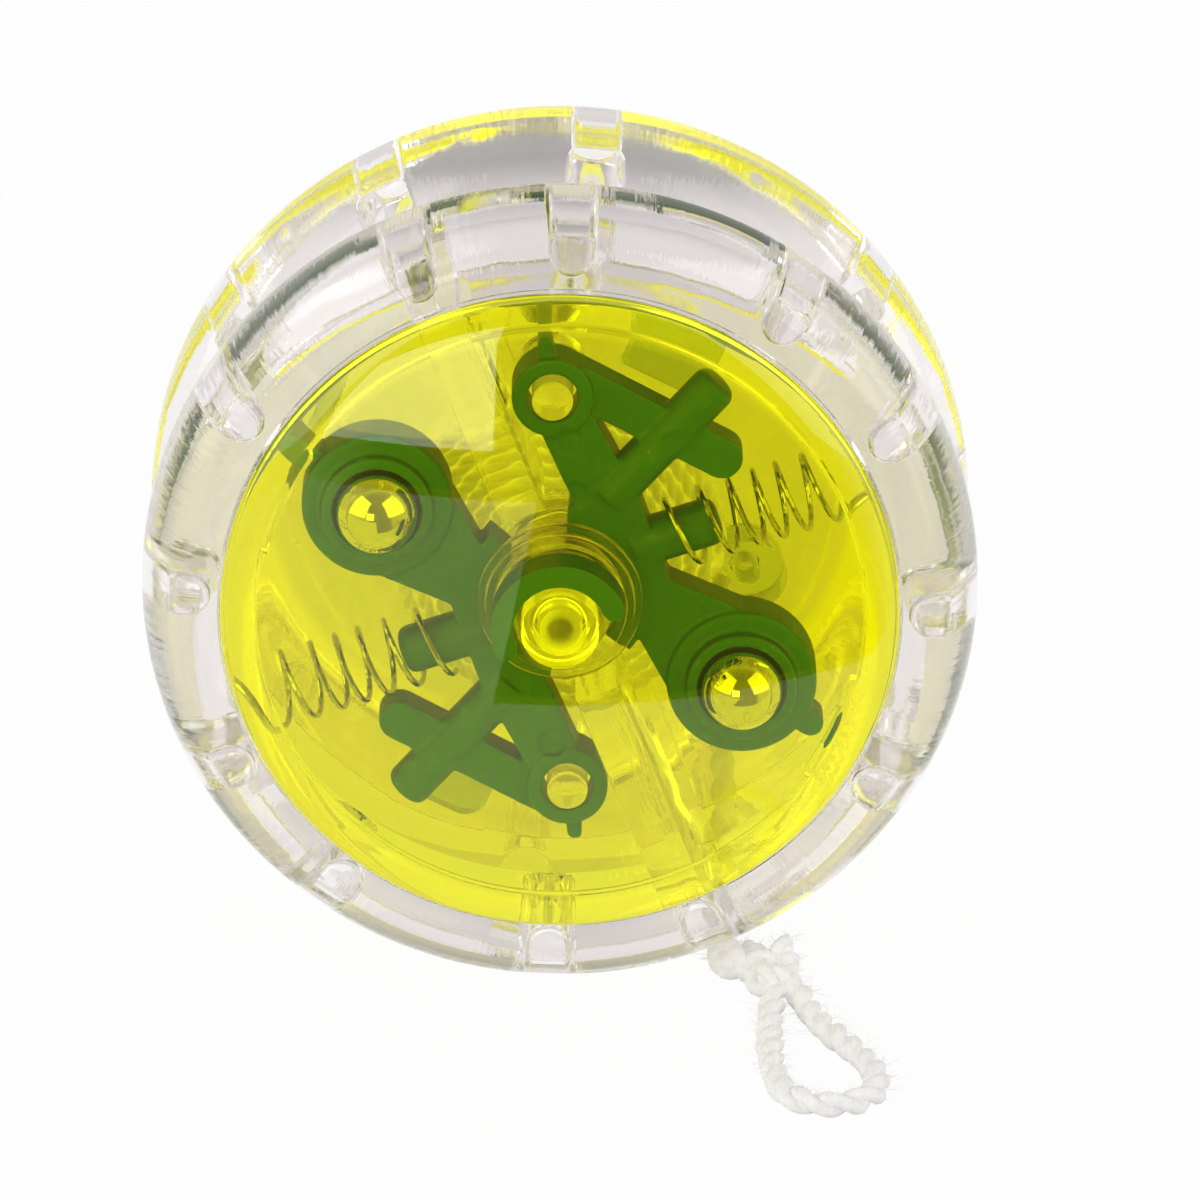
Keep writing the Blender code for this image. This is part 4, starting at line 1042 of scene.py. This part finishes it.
def evenly(line, step):
    """Points a step apart along a smooth curve through the given ones, for plain numbers in millimetres."""
    line = [Vector(point) for point in line]
    ends = [2 * line[0] - line[1], *line, 2 * line[-1] - line[-2]]
    dense = []
    for a, b, c, d in zip(ends, ends[1:], ends[2:], ends[3:]):
        for i in range(24):
            t = i / 24
            bend = (2 * a - 5 * b + 4 * c - d) * t * t + (3 * b - a - 3 * c + d) * t**3
            dense.append(b + ((c - a) * t + bend) / 2)
    dense.append(line[-1])
    points = np.array([tuple(p) for p in dense])
    run = np.concatenate([[0], np.cumsum(np.linalg.norm(np.diff(points, axis=0), axis=1))])
    wanted = np.linspace(0, run[-1], max(2, round(run[-1] / step)) + 1)
    return [Vector([np.interp(w, run, points[:, k]) for k in range(3)]) for w in wanted]


def twisted(shape, line, ply_radius=PLY_RADIUS, offset=PLY_OFFSET, twist=TWIST, sides=10, phase=0.0, lumps=0.1,
            lines=None):
    """Adds two lumpy plies that wind round a line of evenly spaced points."""
    heading = (line[1] - line[0]).normalized()
    across = heading.orthogonal().normalized()
    plies = [[], []]
    run = 0.0
    for i, point in enumerate(line):
        ahead = (line[min(i + 1, len(line) - 1)] - line[max(i - 1, 0)]).normalized()
        across = heading.rotation_difference(ahead) @ across
        across = (across - ahead * across.dot(ahead)).normalized()
        heading = ahead
        side = ahead.cross(across)
        if i:
            run += (point - line[i - 1]).length
        for k in range(2):
            turn = phase + 2 * math.pi * run / twist + math.pi * k
            plies[k].append(point + (across * math.cos(turn) + side * math.sin(turn)) * offset)
    for k, ply in enumerate(plies):
        waves = [0.7 * math.sin(0.61 * i + 2 * k) + 0.5 * math.sin(0.23 * i + phase) for i in range(len(ply))]
        tube(shape, ply, [ply_radius * (1 + lumps * wave) for wave in waves], sides)
    if lines is not None:
        lines += plies
    return shape


def length_of(line):
    return sum((b - a).length for a, b in zip(line, line[1:]))


# %% Wound string
LAYERS = [5.0 + 1.03 * k for k in range(6)] + [11.1]
LANE = 0.78
CROSS_START, CROSS_SWEEP = math.radians(9), math.radians(36)


def wound_line():
    """The wound string, layer by layer, each layer one lane and then the other."""
    turns = 2 * len(LAYERS) - 0.15
    total = 2 * math.pi * turns
    first = total - 2 * math.pi * int(turns)
    steps = int(turns * 48)
    points = []
    for i in range(steps + 1):
        wound = total * i / steps
        passed = (wound - first - CROSS_START) / (2 * math.pi)
        lap = max(0, math.floor(passed) + 1)
        ease = min(max((passed - math.floor(passed)) * 2 * math.pi / CROSS_SWEEP, 0), 1) if passed > 0 else 1
        ease = ease * ease * (3 - 2 * ease)
        now = (LAYERS[min(lap // 2, len(LAYERS) - 1)], LANE * (1 if lap % 2 else -1))
        last = max(lap - 1, 0)
        before = (LAYERS[min(last // 2, len(LAYERS) - 1)], LANE * (1 if last % 2 else -1))
        radius = before[0] + (now[0] - before[0]) * ease
        lane = before[1] + (now[1] - before[1]) * ease
        angle = total - wound
        points.append((radius * math.cos(angle), radius * math.sin(angle), lane))
    return points


wound = evenly(wound_line(), 0.5)
wound_shape = twisted(bmesh.new(), wound, 0.33, 0.24, 2.6, 7)
piece("wound_string", wound_shape, WOUND_COTTON, "spool", ["string_core", "string_winding"], 80)
print(f"wound string {length_of(wound):.0f} mm")

# %% Free string
FLOOR_LEVEL = -AXLE_HEIGHT / MM
TAIL = [
    (11.1, 26.7, 0.78), (11.15, 19.0, 0.8), (11.3, 11.0, 0.8), (11.4, 5.6, 1.1), (11.45, 2.6, 2.6),
    (11.4, 1.15, 4.9), (11.3, 0.87, 6.8), (11.2, 0.9, 8.4), (11.5, 1.2, 9.8),
]
LOOP = [
    (15.0, 1.4, 14.2), (14.6, 1.0, 16.4), (14.35, 0.88, 18.7), (14.2, 0.87, 22.0), (14.25, 0.87, 25.2),
    (14.45, 0.87, 27.9), (14.8, 0.87, 30.2), (15.35, 0.87, 31.5), (16.4, 0.87, 32.4), (17.7, 0.87, 32.85),
    (19.1, 0.87, 32.65), (20.3, 0.87, 31.9), (21.05, 0.87, 30.7), (21.25, 0.87, 29.3), (20.95, 0.87, 27.0),
    (20.2, 0.87, 24.9), (19.2, 0.87, 22.8), (18.1, 0.87, 20.8), (17.2, 0.88, 18.5), (16.6, 1.0, 16.4),
    (16.0, 1.4, 14.4),
]


def on_table(route):
    return evenly([(x, up + FLOOR_LEVEL, front) for x, up, front in route], 0.3)


ply_lines = []
tail_line, loop_line = on_table(TAIL), on_table(LOOP)
tail = piece("free_string", twisted(bmesh.new(), tail_line, lines=ply_lines), COTTON, "spool", ["string_tail"], 80)
loop = piece("loop_string", twisted(bmesh.new(), loop_line, phase=1.0, lines=ply_lines), COTTON, "spool", ["finger_loop"], 80)

# %% Knot
KNOTS = (((12.3, 1.55, 10.7), 0.46, 40), ((14.7, 1.6, 13.2), 0.50, 160))
STUB = [(14.9, 2.2, 12.6), (15.2, 2.7, 12.1), (15.5, 3.1, 11.9), (15.7, 3.2, 11.6)]


def knot_line(centre, scale, turn_deg):
    """An overhand knot drawn tight: three lobes that pass over and under."""
    turn = math.radians(turn_deg)
    points = []
    for i in range(73):
        t = 2 * math.pi * i / 72
        x = math.sin(t) + 2 * math.sin(2 * t)
        y = math.cos(t) - 2 * math.cos(2 * t)
        z = -math.sin(3 * t)
        across = scale * (x * math.cos(turn) - y * math.sin(turn))
        ahead = scale * (x * math.sin(turn) + y * math.cos(turn))
        points.append((centre[0] + across, centre[1] + 0.62 * z, centre[2] + ahead))
    return points


knot_shape = bmesh.new()
for centre, scale, turn_deg in KNOTS:
    twisted(knot_shape, on_table(knot_line(centre, scale, turn_deg)), 0.5, 0.4, lines=ply_lines)
twisted(knot_shape, on_table(STUB), 0.42, 0.36, lines=ply_lines)
knot = piece("finger_knot_turns", knot_shape, COTTON, "spool", ["finger_knot"], 80)

# %% Fuzz
random.seed(7)
fuzz_shape = bmesh.new()
for ply in ply_lines:
    for point in ply[::2]:
        if point.y - FLOOR_LEVEL > 8:
            continue
        for _ in range(9):
            out = Vector((random.gauss(0, 1), abs(random.gauss(0, 0.7)), random.gauss(0, 1))).normalized()
            bend = Vector((random.gauss(0, 1), random.gauss(0, 0.4), random.gauss(0, 1))) * 0.4
            long = random.choice((0.35, 0.45, 0.55, 0.7, 1.1)) * random.uniform(0.7, 1.2)
            root = point + out * PLY_RADIUS * 0.8
            hair = [root + out * long * t + bend * long * t * t for t in (0, 0.35, 0.7, 1.0)]
            tube(fuzz_shape, hair, [0.022, 0.018, 0.014, 0.008], 3)
fuzz = piece("string_fuzz", fuzz_shape, COTTON, "spool", (), 80)

print(f"free string {length_of(tail_line):.0f} mm, loop {length_of(loop_line):.0f} mm")

# %% [markdown]
# ## Table and light
# The toy stands on a wide white table. Camera, glossy and clear rays see the table's own white, so it stays
# white however dim the lamps are, with a share left for the lamps so that the toy's shadow shows. Clear plastic
# shows only what it bends and reflects, so the room must not be even: it is pale near the table and grey
# above, and the dark between the soft boxes draws the edges.

# %% Table
SEEN_WHITE = 0.97
SHEET = [(-1200, 1200), (1200, 1200), (1200, -58), (-10, -58), (-16, -360), (-1200, -360)]


def table_share(wire):
    """How much of the table's own white a ray sees, from the camera, off a gloss or through clear plastic."""
    path = wire.node("ShaderNodeLightPath").socket.node.outputs
    kinds = [Wire(wire.tree, path[f"Is {kind} Ray"]) for kind in ("Camera", "Glossy", "Transmission")]
    return SEEN_WHITE * wire.maths("MINIMUM", kinds[0] + kinds[1] + kinds[2], 1.0)


def table_white():
    made, shader, wire = start_finish("table_white", roughness=0.7, specular_ior_level=0.2)
    place = place_of(wire)
    mottle = grain(wire, place, 30.0, 2.0)
    wire.feed(shader.inputs["Base Color"], mottle.blend((0.68, 0.68, 0.68, 1.0), (0.72, 0.72, 0.72, 1.0)))
    white = wire.node("ShaderNodeEmission", None, {"Color": (1, 1, 1, 1), "Strength": 1.0})
    lit = Wire(wire.tree, shader.outputs["BSDF"])
    mixed = wire.node("ShaderNodeMixShader", None, {0: table_share(wire), 1: lit, 2: white})
    wire.feed(made.node_tree.nodes["Material Output"].inputs["Surface"], mixed)
    return made


table_shape = bmesh.new()
table_shape.faces.new([table_shape.verts.new((x * MM, y * MM, 0)) for x, y in SHEET])
table_mesh = mesh_of(table_shape, "table")
table_mesh.materials.append(table_white())
table = bpy.data.objects.new("table", table_mesh)
bpy.context.scene.collection.objects.link(table)


# %% Lamps
def soft_box(name, place, aim, size, power):
    light = bpy.data.lights.new(name, "AREA")
    light.shape = "RECTANGLE"
    light.size, light.size_y = size
    light.energy = power
    lamp = bpy.data.objects.new(name, light)
    bpy.context.scene.collection.objects.link(lamp)
    lamp.location = place
    lamp.visible_camera = False
    lamp.rotation_euler = (Vector(aim) - Vector(place)).to_track_quat("-Z", "Y").to_euler()


middle = (0, 0, AXLE_HEIGHT)
soft_box("left_panel", (-0.72, -0.40, 0.48), middle, (1.1, 0.85), 4.6)
soft_box("right_panel", (0.72, -0.40, 0.48), middle, (1.1, 0.85), 4.6)
soft_box("window_box", (-0.35, -1.15, 0.21), middle, (0.42, 0.38), 1.5)

# %% Room
room = bpy.data.worlds.new("room")
room.use_nodes = True
wire = Wire(room.node_tree)
background = room.node_tree.nodes["Background"]
direction = wire.node("ShaderNodeTexCoord", out="Generated")
parts = wire.node("ShaderNodeSeparateXYZ", None, {0: direction}).socket.node.outputs
across, ahead, height = (Wire(wire.tree, parts[axis]) for axis in "XYZ")
wall = height.between(0.3, 0.8).blend((0.74, 0.71, 0.70, 1.0), (0.28, 0.27, 0.265, 1.0))
dark_edge = wire.maths("MAXIMUM", (0 - across).between(0.3, 0.5), across.between(0.55, 0.75))
dark_front = (0 - ahead).between(0.15, 0.4) * (1 - dark_edge)
wall = dark_front.blend(wall, (0.09, 0.085, 0.08, 1.0))
path = wire.node("ShaderNodeLightPath").socket.node.outputs
camera_ray, clear_ray = Wire(wire.tree, path["Is Camera Ray"]), Wire(wire.tree, path["Is Transmission Ray"])
white_share = wire.maths("MINIMUM", camera_ray + 0.25 * clear_ray, 1.0)
wire.feed(background.inputs["Color"], white_share.blend(wall, (0.984, 0.984, 0.984, 1.0)))
bpy.context.scene.world = room
bpy.context.scene.view_settings.view_transform = "Standard"
bpy.context.scene.cycles.max_bounces = 32
bpy.context.scene.cycles.glossy_bounces = 24
bpy.context.scene.cycles.transmission_bounces = 24
bpy.context.scene.cycles.transparent_max_bounces = 24
